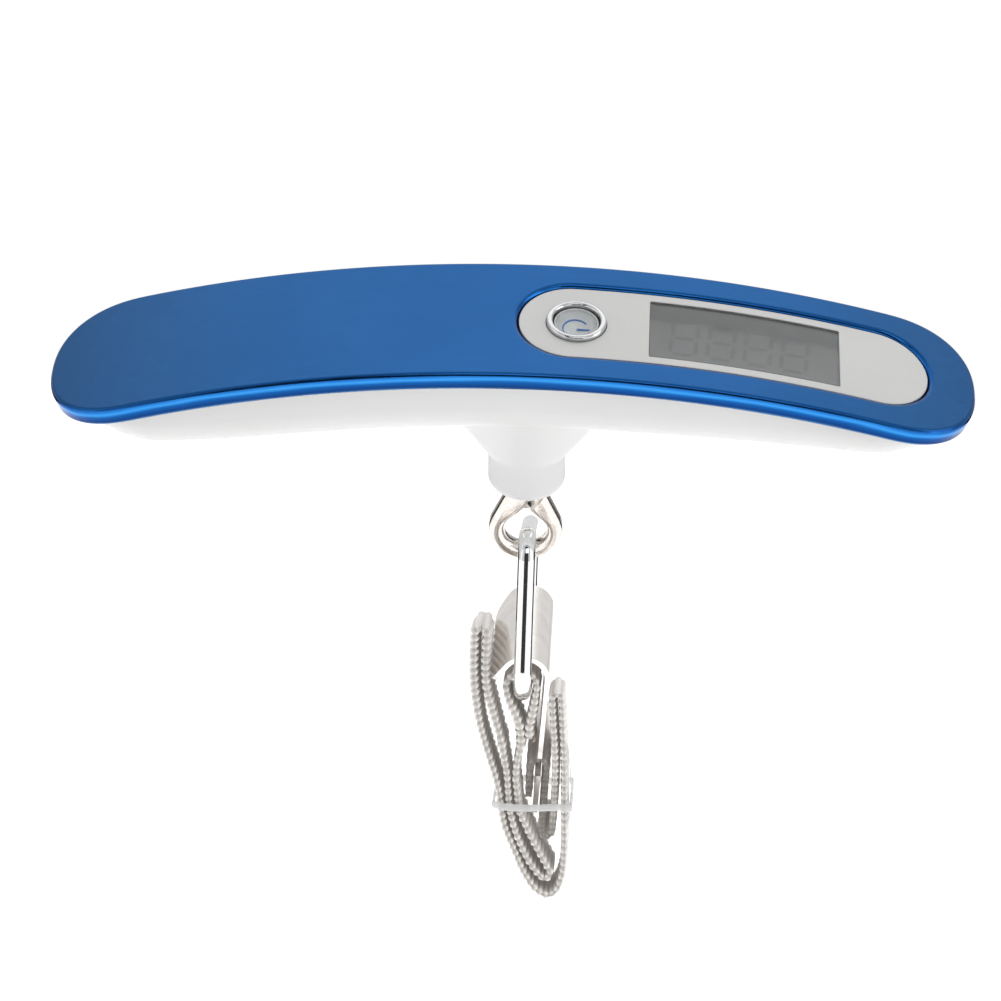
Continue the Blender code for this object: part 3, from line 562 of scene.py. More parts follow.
def silver_look():
    """Silver ink under a clear gloss face."""
    look = Look("silver_fascia", Metallic=0.25, Coat_Weight=0.8, Coat_Roughness=0.04)
    flake = look.noise(0.12 * MM, detail=2.0)
    look.set("Base Color", look.ramp(flake, (0.25, (0.49, 0.49, 0.482)), (0.75, (0.575, 0.575, 0.566))))
    look.set("Roughness", look.spread(look.noise(8 * MM), 0.34, 0.44))
    look.bump(flake, 0.002 * MM, 0.3)
    return look.material


def glass_look():
    look = Look("clear_pane", IOR=1.2, Transmission_Weight=1.0)
    smear = look.noise(3 * MM, detail=3.0)
    colour = (0.9, 0.92, 0.92)
    look.set("Base Color", look.ramp(smear, (0.3, shade(colour, 0.97)), (0.7, colour)))
    look.set("Roughness", look.spread(smear, 0.03, 0.06))
    return look.material


def lcd_look(name="lcd_cell", factor=1.0):
    """Grey liquid crystal cell with painted shade darkening it towards its upper edge, and a faint polariser
    grain.
    """
    look = Look(name, Coat_Weight=0.5, Coat_Roughness=0.05)
    depth = look.attribute("screen_up")
    cloud = look.noise(5 * MM, detail=2.0)
    height = look.maths("ADD", depth, look.spread(cloud, -0.05, 0.05))
    # Painted shade: the cell darkens towards its upper edge, darkest in a band near the top.
    colour = look.ramp(
        height,
        (0.0, shade((0.235, 0.23, 0.232), factor)),
        (0.6, shade((0.175, 0.171, 0.171), factor)),
        (0.74, shade((0.095, 0.094, 0.095), factor)),
        (1.0, shade((0.115, 0.113, 0.113), factor)),
    )
    look.set("Base Color", colour)
    look.set("Roughness", look.spread(look.noise(0.2 * MM), 0.2, 0.28))
    return look.material


def metal_look(name, colour, roughness, size=3 * MM, stretch=(1, 1, 1), spots=0.0):
    """Plated or plain metal: uneven gloss, faint scratches, and a little darkening."""
    look = Look(name, Metallic=1.0)
    cloud = look.noise(size, detail=4.0, place=look.stretched(stretch))
    look.set("Base Color", look.ramp(cloud, (0.3, shade(colour, 0.9 - spots)), (0.65, colour)))
    fine = look.noise(0.4 * MM, detail=5.0, place=look.stretched(stretch))
    look.set("Roughness", look.spread(fine, roughness * 0.75, roughness * 1.3))
    look.bump(fine, 0.003 * MM, min(roughness * 2, 1))
    return look.material


def plain_look(name, colour, roughness, grain=0.3 * MM):
    """Moulded plastic, rubber or board: mottled colour and a fine grain."""
    look = Look(name)
    cloud = look.noise(4 * MM, detail=3.0)
    look.set("Base Color", look.ramp(cloud, (0.3, shade(colour, 0.85)), (0.7, shade(colour, 1.08))))
    look.set("Roughness", look.spread(look.noise(grain * 3), roughness * 0.85, roughness * 1.15))
    look.bump(look.noise(grain, detail=3.0), 0.006 * MM, 0.5)
    return look.material


def webbing_look():
    """Light grey polyester, with painted shade between the ribs and along its side edges where the groove
    attribute is high.

    Its faint glow stands for light that passes through the cloth.
    """
    look = Look(
        "webbing_yarn",
        Sheen_Weight=0.35,
        Sheen_Roughness=0.5,
        Subsurface_Weight=0.3,
        Subsurface_Radius=(1.6 * MM, 1.4 * MM, 1.2 * MM),
        Emission_Color=(0.8, 0.76, 0.71),
        Emission_Strength=0.04,
    )
    cloud = look.noise(2.2 * MM, detail=4.0)
    yarn = look.noise(0.22 * MM, detail=3.0, place=look.stretched((1, 0.35, 1)))
    clean = look.ramp(cloud, (0.3, (0.84, 0.82, 0.80)), (0.7, (0.95, 0.94, 0.925)))
    groove = look.attribute("groove")
    # Painted shade: the groove colour darkens the cloth between the ribs and along its side edges.
    look.set("Base Color", look.blend(groove, clean, (0.6, 0.555, 0.505)))
    look.set("Roughness", look.spread(yarn, 0.75, 0.95))
    look.bump(yarn, 0.09 * MM, 0.7)
    return look.material


def film_look(name="clear_film", alpha=0.45):
    look = Look(name, Alpha=alpha, IOR=1.4)
    crease = look.noise(2.5 * MM, detail=4.0, place=look.stretched((1, 0.4, 1)))
    look.set("Base Color", look.ramp(crease, (0.3, (0.7, 0.7, 0.69)), (0.7, (0.84, 0.84, 0.83))))
    look.set("Roughness", look.spread(crease, 0.18, 0.4))
    look.bump(crease, 0.15 * MM, 0.6)
    return look.material


LOOKS = {
    "blue": blue_look(),
    "white": white_look(),
    "silver": silver_look(),
    "clear": glass_look(),
    "lcd": lcd_look(),
    "chrome": metal_look("chrome_plate", (0.86, 0.86, 0.86), 0.07, size=1.5 * MM),
    "bezel": metal_look("bezel_chrome", (0.66, 0.665, 0.67), 0.1, size=1.5 * MM),
    "dish": plain_look("button_face", (0.78, 0.79, 0.8), 0.25),
    "nickel": metal_look("satin_nickel", (0.95, 0.915, 0.88), 0.2, stretch=(1, 1, 0.15)),
    "eye_metal": metal_look("eye_nickel", (0.82, 0.775, 0.73), 0.13, size=1.2 * MM, spots=0.1),
    "steel": metal_look("zinc_steel", (0.55, 0.55, 0.56), 0.35, spots=0.1),
    "aluminium": metal_look("milled_aluminium", (0.66, 0.67, 0.68), 0.38, stretch=(0.1, 1, 1)),
    "brass": metal_look("spring_brass", (0.62, 0.43, 0.16), 0.28, spots=0.08),
    "green": plain_look("solder_mask", (0.02, 0.16, 0.06), 0.35),
    "black": plain_look("black_moulding", (0.03, 0.03, 0.032), 0.5),
    "rubber": plain_look("grey_rubber", (0.13, 0.13, 0.13), 0.8),
    "foil": plain_look("gauge_film", (0.6, 0.34, 0.1), 0.4),
    "red": plain_look("red_insulation", (0.5, 0.03, 0.02), 0.45),
    "diffuser": plain_look("white_diffuser", (0.8, 0.8, 0.78), 0.5),
    "ink": plain_look("blue_ink", (0.05, 0.2, 0.62), 0.35),
    "segment": lcd_look("lcd_segment", 0.8),
    "webbing": webbing_look(),
    "thread": plain_look("sewing_thread", (0.72, 0.67, 0.64), 0.8, grain=0.12 * MM),
    "film": film_look(),
    "tie": film_look("clear_tie", 0.7),
}


def add_piece(name, mesh, body, look, replaces=(), sharp=35, weighted=True):
    """A visible piece in the row frame, riding on a body."""
    obj = linked(name, mesh)
    mesh.materials.clear()
    mesh.materials.append(LOOKS[look])
    mesh.shade_smooth()
    mesh.set_sharp_from_angle(angle=math.radians(sharp))
    if weighted:
        keep = obj.modifiers.new("normals", "WEIGHTED_NORMAL")
        keep.keep_sharp = True
    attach(obj, body)
    if replaces:
        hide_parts(*replaces)
    return obj


def mark(mesh, name, values):
    attribute = mesh.attributes.new(name, "FLOAT", "POINT")
    attribute.data.foreach_set("value", np.asarray(values, np.float32))


# ---- handle


def cover_mesh():
    skirt = outline_mesh(bow_outline(COVER_ENDS, COVER_HALF, COVER_ROUND), -COVER_SKIRT, 0)
    skirt = cut(skirt, outline_mesh(stadium(SLOT_ENDS, SLOT_HALF), -2 * COVER_SKIRT, COVER_SKIRT))
    skirt = rounded(skirt, 0.9 * MM, segments=8)
    pocket = outline_mesh(
        bow_outline(COVER_ENDS, COVER_HALF, COVER_ROUND, COVER_WALL), -2 * COVER_SKIRT, -COVER_PLATE
    )
    mesh = bend(cut(skirt, pocket))
    heights = [math.hypot(v.co.x, v.co.z - TOP + ARCH) - ARCH for v in mesh.vertices]
    # The fall value masks the rim's painted highlight and painted reflection bands.
    mark(mesh, "fall", [min(max(-h / COVER_SKIRT, 0), 1) for h in heights])
    # The endness value masks painted shade that darkens the plate towards both ends.
    mark(mesh, "endness", [min(max((abs(v.co.x) / MM - 25) / 60, 0), 1) for v in mesh.vertices])
    return placed(mesh, HANDLE)


def hull_depth(s, breadth_share):
    side = int(s >= 0)
    lost, power = HULL_THINNING[side]
    full = HULL_DEPTH * (1 - lost * (s / HULL_ENDS[side]) ** power)
    return HULL_TIP_DEPTH + (full - HULL_TIP_DEPTH) * breadth_share**HULL_BELLY_POWER


def hull_stations(step=2.5 * MM, end_steps=22):
    last = 0.992
    stops = [HULL_ENDS[0] + HULL_ROUND, HULL_ENDS[1] - HULL_ROUND]
    count = round((stops[1] - stops[0]) / step)
    stops = [stops[0] + (stops[1] - stops[0]) * i / count for i in range(count + 1)]
    for end, way in ((HULL_ENDS[0] + HULL_ROUND, -1), (HULL_ENDS[1] - HULL_ROUND, 1)):
        for t in range(1, end_steps + 1):
            stops.append(end + way * HULL_ROUND * math.sin(t * math.pi / 2 / end_steps) * last)
    return sorted(stops)


def hull_section(s, inset, rim, steps=12):
    breadth = bow_half(s, HULL_ENDS, HULL_HALF, HULL_ROUND)
    depth = hull_depth(s, breadth / HULL_HALF)
    half = breadth - inset
    bottom = -(depth - inset * 1.1)
    corner = max(0.4 * MM, min(HULL_CORNER - inset, half * 0.75, -bottom - 2.2 * MM))
    points = [(half, rim)]
    for step in range(steps + 1):
        angle = step / steps * math.pi / 2
        across = half - corner + corner * math.cos(angle)
        points.append((across, bottom + corner - corner * math.sin(angle)))
    return points + [(-y, h) for y, h in reversed(points)]


def hull_loft(inset, rim, stops):
    return swept_mesh([[on_arch(s, y, h) for y, h in hull_section(s, inset, rim)] for s in stops])


def neck_mesh():
    """Oval rings from inside the hull down to the rounded rim of the neck's mouth."""
    levels = [(TOP + z * MM, NECK_R + x * MM, NECK_R * NECK_SQUASH + y * MM) for z, x, y in NECK_FLARE]
    for inset, z in arc((-NECK_RIM, NECK_BOTTOM + NECK_RIM), NECK_RIM, 0, -90, 12):
        levels.append((z, NECK_R + inset, (NECK_R + inset) * NECK_SQUASH))
    return swept_mesh([[(x * math.cos(a), y * math.sin(a), z) for a in full_turn(96)] for z, x, y in levels])


def door_box(grow, low, high):
    half_x, half_y = DOOR[0] + grow, DOOR[1] + grow
    box = box_mesh((-half_x, -half_y, low), (half_x, half_y, high), corner=3 * MM + grow)
    return placed(box, arch_frame(BATTERY_S))


def hull_skin():
    stops = hull_stations()
    broad = [s for s in stops if bow_half(s, HULL_ENDS, HULL_HALF, HULL_ROUND) > CAVITY_BREADTH]
    hollow = [s * CAVITY_SHARE for s in broad]
    shell = cut(join(hull_loft(0, HULL_RIM, stops), neck_mesh()), hull_loft(HULL_WALL, 4 * MM, hollow))
    return cut(shell, cylinder_mesh(STEM_BORE, NECK_BOTTOM - 5 * MM, TOP - 12 * MM))


def thumb_notch():
    """A shallow dished groove across the outer end of the battery door."""
    notch = placed(cylinder_mesh(14 * MM, -5 * MM, 5 * MM, sides=96), Matrix.Rotation(math.pi / 2, 4, "X"))
    reach = hull_depth(BATTERY_S, 1) + 13.35 * MM
    return placed(notch, arch_frame(BATTERY_S) @ Matrix.Translation((-8 * MM, 0, -reach)))


def make_handle():
    add_piece("cover_plate", cover_mesh(), "handle", "blue", ["top_cover"], sharp=40)
    skin = hull_skin()
    housing = cut(skin.copy(), door_box(0.25 * MM, -30 * MM, -9 * MM))
    add_piece("hull_skin", placed(housing, HANDLE), "handle", "white", ["lower_housing"])
    door = cut(meet(skin, door_box(0, -30 * MM, -10.2 * MM)), thumb_notch())
    add_piece("door_skin", placed(door, HANDLE), "battery_door", "white", ["battery_door"])


# ---- display and button


def display_box(grow, low, high, corner=0.0):
    """A box over the display, as large as its window and larger by grow on every side."""
    x, y = WINDOW[0] / 2 + grow, WINDOW[1] / 2 + grow
    return box_mesh((DISPLAY_S - x, -y, low), (DISPLAY_S + x, y, high), corner)


def make_panel():
    outline = stadium(widened(SLOT_ENDS, -PANEL_GAP), SLOT_HALF - PANEL_GAP)
    face = outline_mesh(outline, PANEL_BOTTOM + 0.3 * MM, PANEL_TOP)
    window = display_box(0, -6 * MM, 2 * MM, 0.3 * MM)
    face = cut(face, window, cylinder_mesh(BUTTON_HOLE, -6 * MM, 2 * MM, 72, (BUTTON_S, 0)))
    face = placed(bend(rounded(face, 0.16 * MM, segments=3)), HANDLE)
    add_piece("silver_fascia", face, "handle", "silver", ["lens_panel"])

    pane = bend(display_box(-0.02 * MM, -0.95 * MM, PANEL_TOP - 0.02 * MM, 0.3 * MM))
    pane = placed(pane, HANDLE)
    add_piece("window_pane", pane, "handle", "clear", ["display_window"])


def slice_up(bm, across, places):
    """Cuts every face of a mesh where it crosses each place along one axis."""
    for place in places:
        geometry = [*bm.verts, *bm.edges, *bm.faces]
        bmesh.ops.bisect_plane(bm, geom=geometry, dist=1e-7, plane_co=across * place, plane_no=across)


def make_screen():
    """The liquid crystal cell right under the pane, with unlit segments as faint shapes."""
    grow = 0.5 * MM
    high = WINDOW[1] + 2 * grow
    plate = display_box(grow, SCREEN_LEVEL - 0.12 * MM, SCREEN_LEVEL)
    bm = bmesh.new()
    bm.from_mesh(plate)
    slice_up(bm, Vector((0, 1, 0)), [high * (step / 12 - 0.5) for step in range(1, 12)])
    slice_up(bm, Vector((1, 0, 0)), [step * FINE_SLICE for step in range(-60, 60)])
    cells = (("lcd_cell", "lcd", mesh_from(bm)), ("lcd_segments", "segment", all_segments()))
    for name, look, mesh in cells:
        # screen_up masks the painted shade towards the cell's upper edge.
        mark(mesh, "screen_up", [v.co.y / high + 0.5 for v in mesh.vertices])
        for vert in mesh.vertices:
            vert.co = on_arch(*vert.co)
        add_piece(name, placed(mesh, HANDLE), "handle", look, weighted=False)


def all_segments():
    return merged([segment for digit in range(4) for segment in digit_segments(digit)])


def digit_segments(digit):
    """Seven thin bars of one generic digit, unlit."""
    width, height, bar, slant = 4.2 * MM, 8.4 * MM, 0.8 * MM, 0.08
    x0 = DISPLAY_S - 12.6 * MM + digit * 6.2 * MM
    y0 = -5.4 * MM
    level = SCREEN_LEVEL + 0.002 * MM
    middle = height / 2
    bars = [((bar / 2, 0), (width - bar / 2, 0)), ((bar / 2, middle), (width - bar / 2, middle))]
    bars += [((bar / 2, height), (width - bar / 2, height))]
    for x in (0, width):
        bars += [((x, bar / 2), (x, middle - bar / 2)), ((x, middle + bar / 2), (x, height - bar / 2))]
    made = []
    for (ax, ay), (bx, by) in bars:
        along = Vector((bx - ax, by - ay)).normalized()
        side = Vector((-along.y, along.x)) * bar / 2
        tip = along * bar / 2
        a, b = Vector((ax, ay)), Vector((bx, by))
        outline = [a, a + tip + side, b - tip + side, b, b - tip - side, a + tip - side]
        points = [(x0 + p.x + slant * p.y, y0 + p.y) for p in outline]
        made.append(outline_mesh(points, level, level + 0.004 * MM))
    return made


# Profiles of (radius, height) in mm, from the middle or the inner edge outwards.
BUTTON_DISH = (
    *((0, -1.55), (1.9, -1.5), (2.7, -1.25), (3.2, -0.85), (3.5, -0.45), (3.62, -0.4), (3.7, -0.5)),
    *((3.7, -2.4), (4.3, -2.4), (4.3, -2.9), (0, -2.9)),
)
BUTTON_DOME = (
    *((0, 0.42), (1.2, 0.34), (2.2, 0.12), (3.0, -0.2), (3.4, -0.42)),
    *((3.3, -0.6), (2.4, -0.5), (0, -0.4)),
)
BEZEL_RADII = (3.95, 5.0)


def turned_in_mm(profile):
    return turned_mesh([(radius * MM, z * MM) for radius, z in profile])


def make_button():
    at_button = HANDLE @ arch_frame(BUTTON_S)
    inner, outer = BEZEL_RADII
    bezel = [(inner, -2.0), (inner, -0.5)]
    bezel += [(4.47 + 0.52 * math.cos(a), -0.12 + 0.47 * math.sin(a)) for a in half_turn(14)]
    bezel += [(outer, -0.5), (outer, -2.0), (inner, -2.0)]
    bezel = placed(turned_in_mm(bezel), at_button)
    add_piece("button_bezel", bezel, "handle", "bezel", ["button_ring"])
    cap = placed(turned_in_mm(BUTTON_DISH), at_button)
    add_piece("button_dish", cap, "power_button", "dish", ["power_button"])
    lens = placed(turned_in_mm(BUTTON_DOME), at_button)
    add_piece("button_lens", lens, "power_button", "clear")

    turn = [math.radians(38 + 284 * i / 40) for i in range(41)]
    centre = Vector((-0.1 * MM, -0.35 * MM, -1.46 * MM))
    ring = [centre + Vector((math.cos(a), math.sin(a), 0)) * 2.0 * MM for a in turn]
    stroke = [centre + Vector((0.2 * MM, -0.1 * MM, 0)), centre + Vector((2.3 * MM, -0.1 * MM, 0))]
    icon = merged([tube(ring, 0.13 * MM, sides=10), tube(stroke, 0.13 * MM, sides=10)])
    add_piece("button_icon", placed(icon, at_button), "power_button", "ink", weighted=False)


def half_turn(steps):
    return [math.pi * (1 - i / steps) for i in range(steps + 1)]


# ---- eye, ring and hook


def tangent_angle(radius, point):
    return math.atan2(point[1], point[0]) - math.acos(radius / math.hypot(*point))


def teardrop(radius, point, steps=56):
    """A circle round the origin whose top is drawn up to a point and its mirror image."""
    start = tangent_angle(radius, point)
    turn = [start - (math.pi + 2 * start) * i / steps for i in range(steps + 1)]
    points = [(radius * math.cos(a), radius * math.sin(a)) for a in turn]
    left = (-point[0], point[1])
    return [point, *points, left] if point[0] > MM / 10 else [point, *points]


def make_eye():
    shoulder = NECK_BOTTOM - 0.3 * MM - EYE_Z
    half = EYE_DEPTH / 2
    eye = outline_mesh(teardrop(EYE_OUTER, (3.0 * MM, shoulder)), -half, half)
    hole = outline_mesh(teardrop(EYE_INNER, (0, 5.4 * MM), 44), -2 * half, 2 * half)
    slit = box_mesh((-0.35 * MM, 0, -2 * half), (0.35 * MM, 9 * MM, 2 * half))
    slit.transform(Matrix.Translation((0.3 * MM, 4.6 * MM, 0)) @ Matrix.Rotation(math.radians(-34), 4, "Z"))
    eye = cut(rounded(cut(eye, hole), EYE_ROUND, segments=8, angle=40), slit)
    eye.transform(Matrix.Translation((0, 0, EYE_Z)) @ Matrix.Rotation(math.pi / 2, 4, "X"))
    top, bottom = 0.6 * MM, EYE_Z + shoulder - 1.6 * MM
    shank = turned_mesh([(0, top), (STEM_R, top), (STEM_R, bottom), (0, bottom)], 48)
    eye = placed(merged([eye, shank]), HANDLE)
    add_piece("swivel_eye", eye, "eye", "eye_metal", ["eye_hook"])


def make_ring():
    """A closed wire, with the slight bulge of its weld on the rear leg."""
    points = []
    low = -RING_DROP
    corners = ((RING_HALF, 0, 0), (-RING_HALF, 0, 90), (-RING_HALF, low, 180), (RING_HALF, low, 270))
    for y, z, start in corners:
        centre = (y - math.copysign(RING_CORNER, y), RING_CORNER + low if z < 0 else -RING_CORNER)
        points += [Vector((0, a, b)) for a, b in arc(centre, RING_CORNER, start, start + 90, 18)]
    dense = closed_path(points, 0.8 * MM)
    weld = Vector((0, RING_HALF, low * 0.45))
    radii = [WIRE_R * (1 + 0.05 * math.exp(-(((p - weld).length / (0.9 * MM)) ** 2))) for p in dense]
    wire = tube(dense, radii, sides=40, closed=True)
    wire.transform(Matrix.Translation(UPPER_BAR))
    add_piece("ring_wire", wire, "ring", "chrome", ["wire_ring"], weighted=False)


def filleted(start, corner, end, radius, steps=30):
    """Two straight runs joined by an arc, as points in x and z."""
    first = (Vector(start) - Vector(corner)).normalized()
    second = (Vector(end) - Vector(corner)).normalized()
    half = first.angle(second) / 2
    reach = radius / math.tan(half)
    middle = (first + second).normalized()
    centre = Vector(corner) + middle * (radius / math.sin(half))
    begin = Vector(corner) + first * reach - centre
    turn = math.pi - 2 * half
    way = -1 if begin.cross(Vector(corner) + second * reach - centre) < 0 else 1
    bent = [Matrix.Rotation(way * turn * i / steps, 2) @ begin for i in range(steps + 1)]
    return [tuple(start), *[tuple(centre + r) for r in bent], tuple(end)]


HOOK_PATH = filleted((-5.2 * MM, -6.8 * MM), (4.9 * MM, 6.4 * MM), (2.6 * MM, -33.0 * MM), 3.9 * MM)
HOOK_PLACE = (
    Matrix.Translation(LOWER_BAR) @ Matrix.Translation((0, *HOOK_RIDGE)) @ Matrix.Rotation(HOOK_LEAN, 4, "X")
)


def sheet_strip(path, half_width, thick):
    left, right = [], []
    for i, (x, z) in enumerate(path):
        before, after = path[max(i - 1, 0)], path[min(i + 1, len(path) - 1)]
        along = Vector((after[0] - before[0], after[1] - before[1])).normalized()
        left.append((x - along.y * thick / 2, z + along.x * thick / 2))
        right.append((x + along.y * thick / 2, z - along.x * thick / 2))
    strip = outline_mesh(left + right[::-1], -half_width, half_width)
    strip.transform(Matrix.Rotation(math.pi / 2, 4, "X"))
    return strip


def lip_frame():
    tip, after = (Vector((p[0], 0, p[1])) for p in HOOK_PATH[:2])
    up, across = (after - tip).normalized(), Vector((0, 1, 0))
    return Matrix.Translation(tip) @ Matrix((up, across, up.cross(across))).transposed().to_4x4()


def corner_cutter(radius, side):
    """What rounds one corner of a sheet that starts at x = 0, on the side that y points to."""
    reach, deep = 1 * MM, 4 * MM
    corner = (radius, side * (HOOK_HALF - radius))
    outer = side * (HOOK_HALF + reach)
    box = box_mesh((-reach, min(corner[1], outer), -deep), (radius, max(corner[1], outer), deep))
    return cut(box, cylinder_mesh(radius, -2 * deep, 2 * deep, 64, corner))


def make_hook():
    plate = sheet_strip(HOOK_PATH, HOOK_HALF, HOOK_SHEET)
    slot = box_mesh((-3 * MM, -2 * HOOK_HALF, HOOK_SLOT[0]), (8 * MM, HOOK_HALF - 1.4 * MM, HOOK_SLOT[1]))
    corners = [placed(corner_cutter(radius, side), lip_frame()) for radius, side in LIP_CORNERS]
    plate = rounded(cut(plate, slot, *corners), 0.16 * MM, segments=3, angle=45)
    add_piece("hook_sheet", placed(plate, HOOK_PLACE), "hook", "nickel", ["hook_plate"])


# ---- strap


def u_turn(start, end, way, steps=4):
    """A half circle between two route points, in x and z, bulging to the side that way gives."""
    a, b = Vector(start[:2]), Vector(end[:2])
    centre, arm = (a + b) / 2, (a - b) / 2
    points = []
    for step in range(1, steps):
        turned = Matrix.Rotation(way * math.pi * step / steps, 2) @ arm
        share = step / steps
        rest = [start[k] + (end[k] - start[k]) * share for k in (2, 3)]
        points.append((centre.x + turned.x, centre.y + turned.y, *rest))
    return points


def flat(*points):
    """Route points in mm, square to the ring: x, z, no shift along y, no tilt."""
    return [(x, z, 0.0, 0.0) for x, z in points]


def by_hook(x, z):
    """A route point in mm given in the leaning hook's own frame."""
    oy, oz = (v / MM for v in HOOK_RIDGE)
    return (x, oz + z * math.cos(HOOK_LEAN), oy - z * math.sin(HOOK_LEAN), math.degrees(HOOK_LEAN))


def strap_route():
    """The strap's centre line in mm from the ring's lower bar: x, z, shift along y, tilt in degrees."""
    hook_end = [by_hook(1.42, -31.5), by_hook(1.45, -28.5), by_hook(1.64, -25.6)]
    hook_return = [by_hook(4.42, -25.6), by_hook(4.2, -29.5), (4.1, -17.4, 10.9, 21), (4.0, -20.4, 9.6, 16)]
    low_fold = [(3.95, -23.6, 7.2, 11), (5.75, -23.6, 5.4, 8)]
    inner_right = [(6.0, -19.5, 3.5, 5), (6.05, -15, 1, 1), *flat((5.95, -11), (5.5, -6), (5.15, -1.2))]
    outer_right = flat((6.7, -1.2), (7.05, -6), (7.5, -12), (7.75, -18), (7.95, -23), (8.05, -27))
    bottom = flat((7.9, -31), (7.0, -34.2), (5.3, -35.2), (3.2, -34.1), (1.1, -31.2), (-0.6, -27.5))
    outer_left = flat((-2.3, -23.6), (-3.0, -20.4), (-3.4, -18.0), (-4.4, -14.4), (-6.1, -9.6), (-7.4, -5))
    outer_left += flat((-8.2, 0), (-8.5, 4), (-8.5, 9.6))
    inner_left = flat((-6.45, 9.6), (-6.5, 4), (-6.1, 0), (-4.8, -4.4), (-3.4, -9), (-2.3, -14))
    inner_left += flat((-1.85, -18.0), (-1.5, -20.6), (-0.5, -24.2), (0.8, -27.2), (2.4, -30.0), (4.2, -32.0))
    middle = flat((5.5, -30.7), (4.2, -28.6), (2.8, -26.2), (1.35, -23.4), (0.05, -20.6), (-0.3, -18.0))
    middle += flat((-0.7, -15.0), (-0.5, -12.0), (0.0, -9.4), (-0.2, -6.6), (-1.3, -3.8), (-2.6, -1.0))
    loop = flat((-2.6, 1.6), (-0.15, 3.6), (2.2, 1.6), (2.2, -1.0), (1.8, -4.0), (1.35, -6.4), (1.4, -8.3))
    return [
        *hook_end,
        *u_turn(hook_end[-1], hook_return[0], -1),
        *hook_return,
        *low_fold[:1],
        *u_turn(low_fold[0], low_fold[1], 1),
        *low_fold[1:],
        *inner_right,
        *u_turn(inner_right[-1], outer_right[0], -1),
        *outer_right,
        *bottom,
        *outer_left,
        *u_turn(outer_left[-1], inner_left[0], -1),
        *inner_left,
        *u_turn(inner_left[-1], middle[0], 1),
        *middle,
        *loop,
    ]


def smooth_route(points, step):
    """Evenly spaced points of a Catmull-Rom curve through the route."""
    knots = np.array(points, float)
    padded = np.vstack([2 * knots[0] - knots[1], knots, 2 * knots[-1] - knots[-2]])
    fine = []
    for i in range(len(knots) - 1):
        a, b, c, d = padded[i : i + 4]
        for t in np.linspace(0, 1, 12, endpoint=False):
            curve = (2 * a - 5 * b + 4 * c - d) * t**2 + (3 * b - a - 3 * c + d) * t**3
            fine.append(0.5 * (2 * b + (c - a) * t + curve))
    fine = np.array([*fine, knots[-1]])
    lengths = np.concatenate([[0], np.cumsum(np.linalg.norm(np.diff(fine[:, :3], axis=0), axis=1))])
    stops = np.linspace(0, lengths[-1], round(lengths[-1] / step) + 1)
    return np.column_stack([np.interp(stops, lengths, fine[:, k]) for k in range(4)]), lengths[-1]


def web_section(ripple, rib, thick):
    """Points (across, out, groove) round the webbing where its ribs swell by ripple, from 0 to 1."""
    half = WEB_HALF - 0.35 * MM + 0.38 * MM * ripple
    reach = thick * (0.27 + 0.23 * ripple)
    count = 22
    points = []
    # The groove value, high between the ribs and at the side edges, masks painted shade.
    for face in (1, -1):
        for i in range(count + 1):
            share = (1 - 2 * i / count) * face
            yarn = math.cos(share * half / (0.62 * MM) * math.pi + rib * math.pi) * 0.055 * MM
            taper = 1 - 0.22 * abs(share) ** 8
            points.append((share * (half - 0.18 * MM), face * (reach * taper + yarn * ripple), 1 - ripple))
        points.append((-face * half, face * reach * 0.55, 1 - ripple))
        points.append((-face * (half - 0.3 * MM), 0, 1))
        points.append((-face * half, -face * reach * 0.55, 1 - ripple))
    return points


def web_thickness(x, z):
    """The webbing is limp and full in the open fold and the sewn loop, and pressed thin in the bundle."""
    if abs(x) < 3.5 and z > -10.5:
        return WEB_THICK + (WEB_THICK_IN_SEAM - WEB_THICK) * ease((-0.5 - z) / 3)
    if x > -3.5:
        return WEB_THICK
    return WEB_THICK + (WEB_THICK_IN_FOLD - WEB_THICK) * ease((z + 9) / 9)


def ease(share):
    share = min(max(share, 0), 1)
    return share * share * (3 - 2 * share)


def make_webbing():
    step = RIB_PITCH / 6
    route, length = smooth_route(strap_route(), step / MM)
    rng = np.random.default_rng(7)
    wobble = rng.normal(0, 1, (len(route) // WOBBLE_SPAN + 3, 3))[:, 1]
    rings, rib_shade_values = [], []
    for i, (x, z, shift, tilt) in enumerate(route):
        before, after = route[max(i - 1, 0)], route[min(i + 1, len(route) - 1)]
        across = Vector((0, math.cos(math.radians(tilt)), math.sin(math.radians(tilt))))
        along = Vector((after[0] - before[0], after[2] - before[2], after[1] - before[1])).normalized()
        out = along.cross(across).normalized()
        phase = i * length * MM / (len(route) - 1) / RIB_PITCH
        ripple = (0.5 + 0.5 * math.cos(2 * math.pi * phase)) ** 0.75
        drift = np.interp(i / WOBBLE_SPAN, range(len(wobble)), wobble) * 0.12 * MM
        centre = LOWER_BAR + Vector((x, shift, z)) * MM + across * drift
        ring = []
        for a, o, g in web_section(ripple, round(phase), web_thickness(x, z)):
            ring.append(centre + across * a + out * o)
            rib_shade_values.append(g * 0.8)
        rings.append(ring)
    mesh = swept_mesh(rings)
    # The groove attribute masks painted shade between the ribs and along the side edges.
    mark(mesh, "groove", rib_shade_values)
    strap = add_cloth("ribbed_webbing", mesh, "webbing", ["webbing_strap"])


def add_cloth(name, mesh, look, replaces=(), sharp=180):
    """A soft piece on the strap, smooth all over."""
    return add_piece(name, mesh, "strap", look, replaces, sharp, weighted=False)


def on_strap(x, z, y=0.0):
    """A place given in mm from the middle of the ring's lower bar."""
    return LOWER_BAR + Vector((x, y, z)) * MM


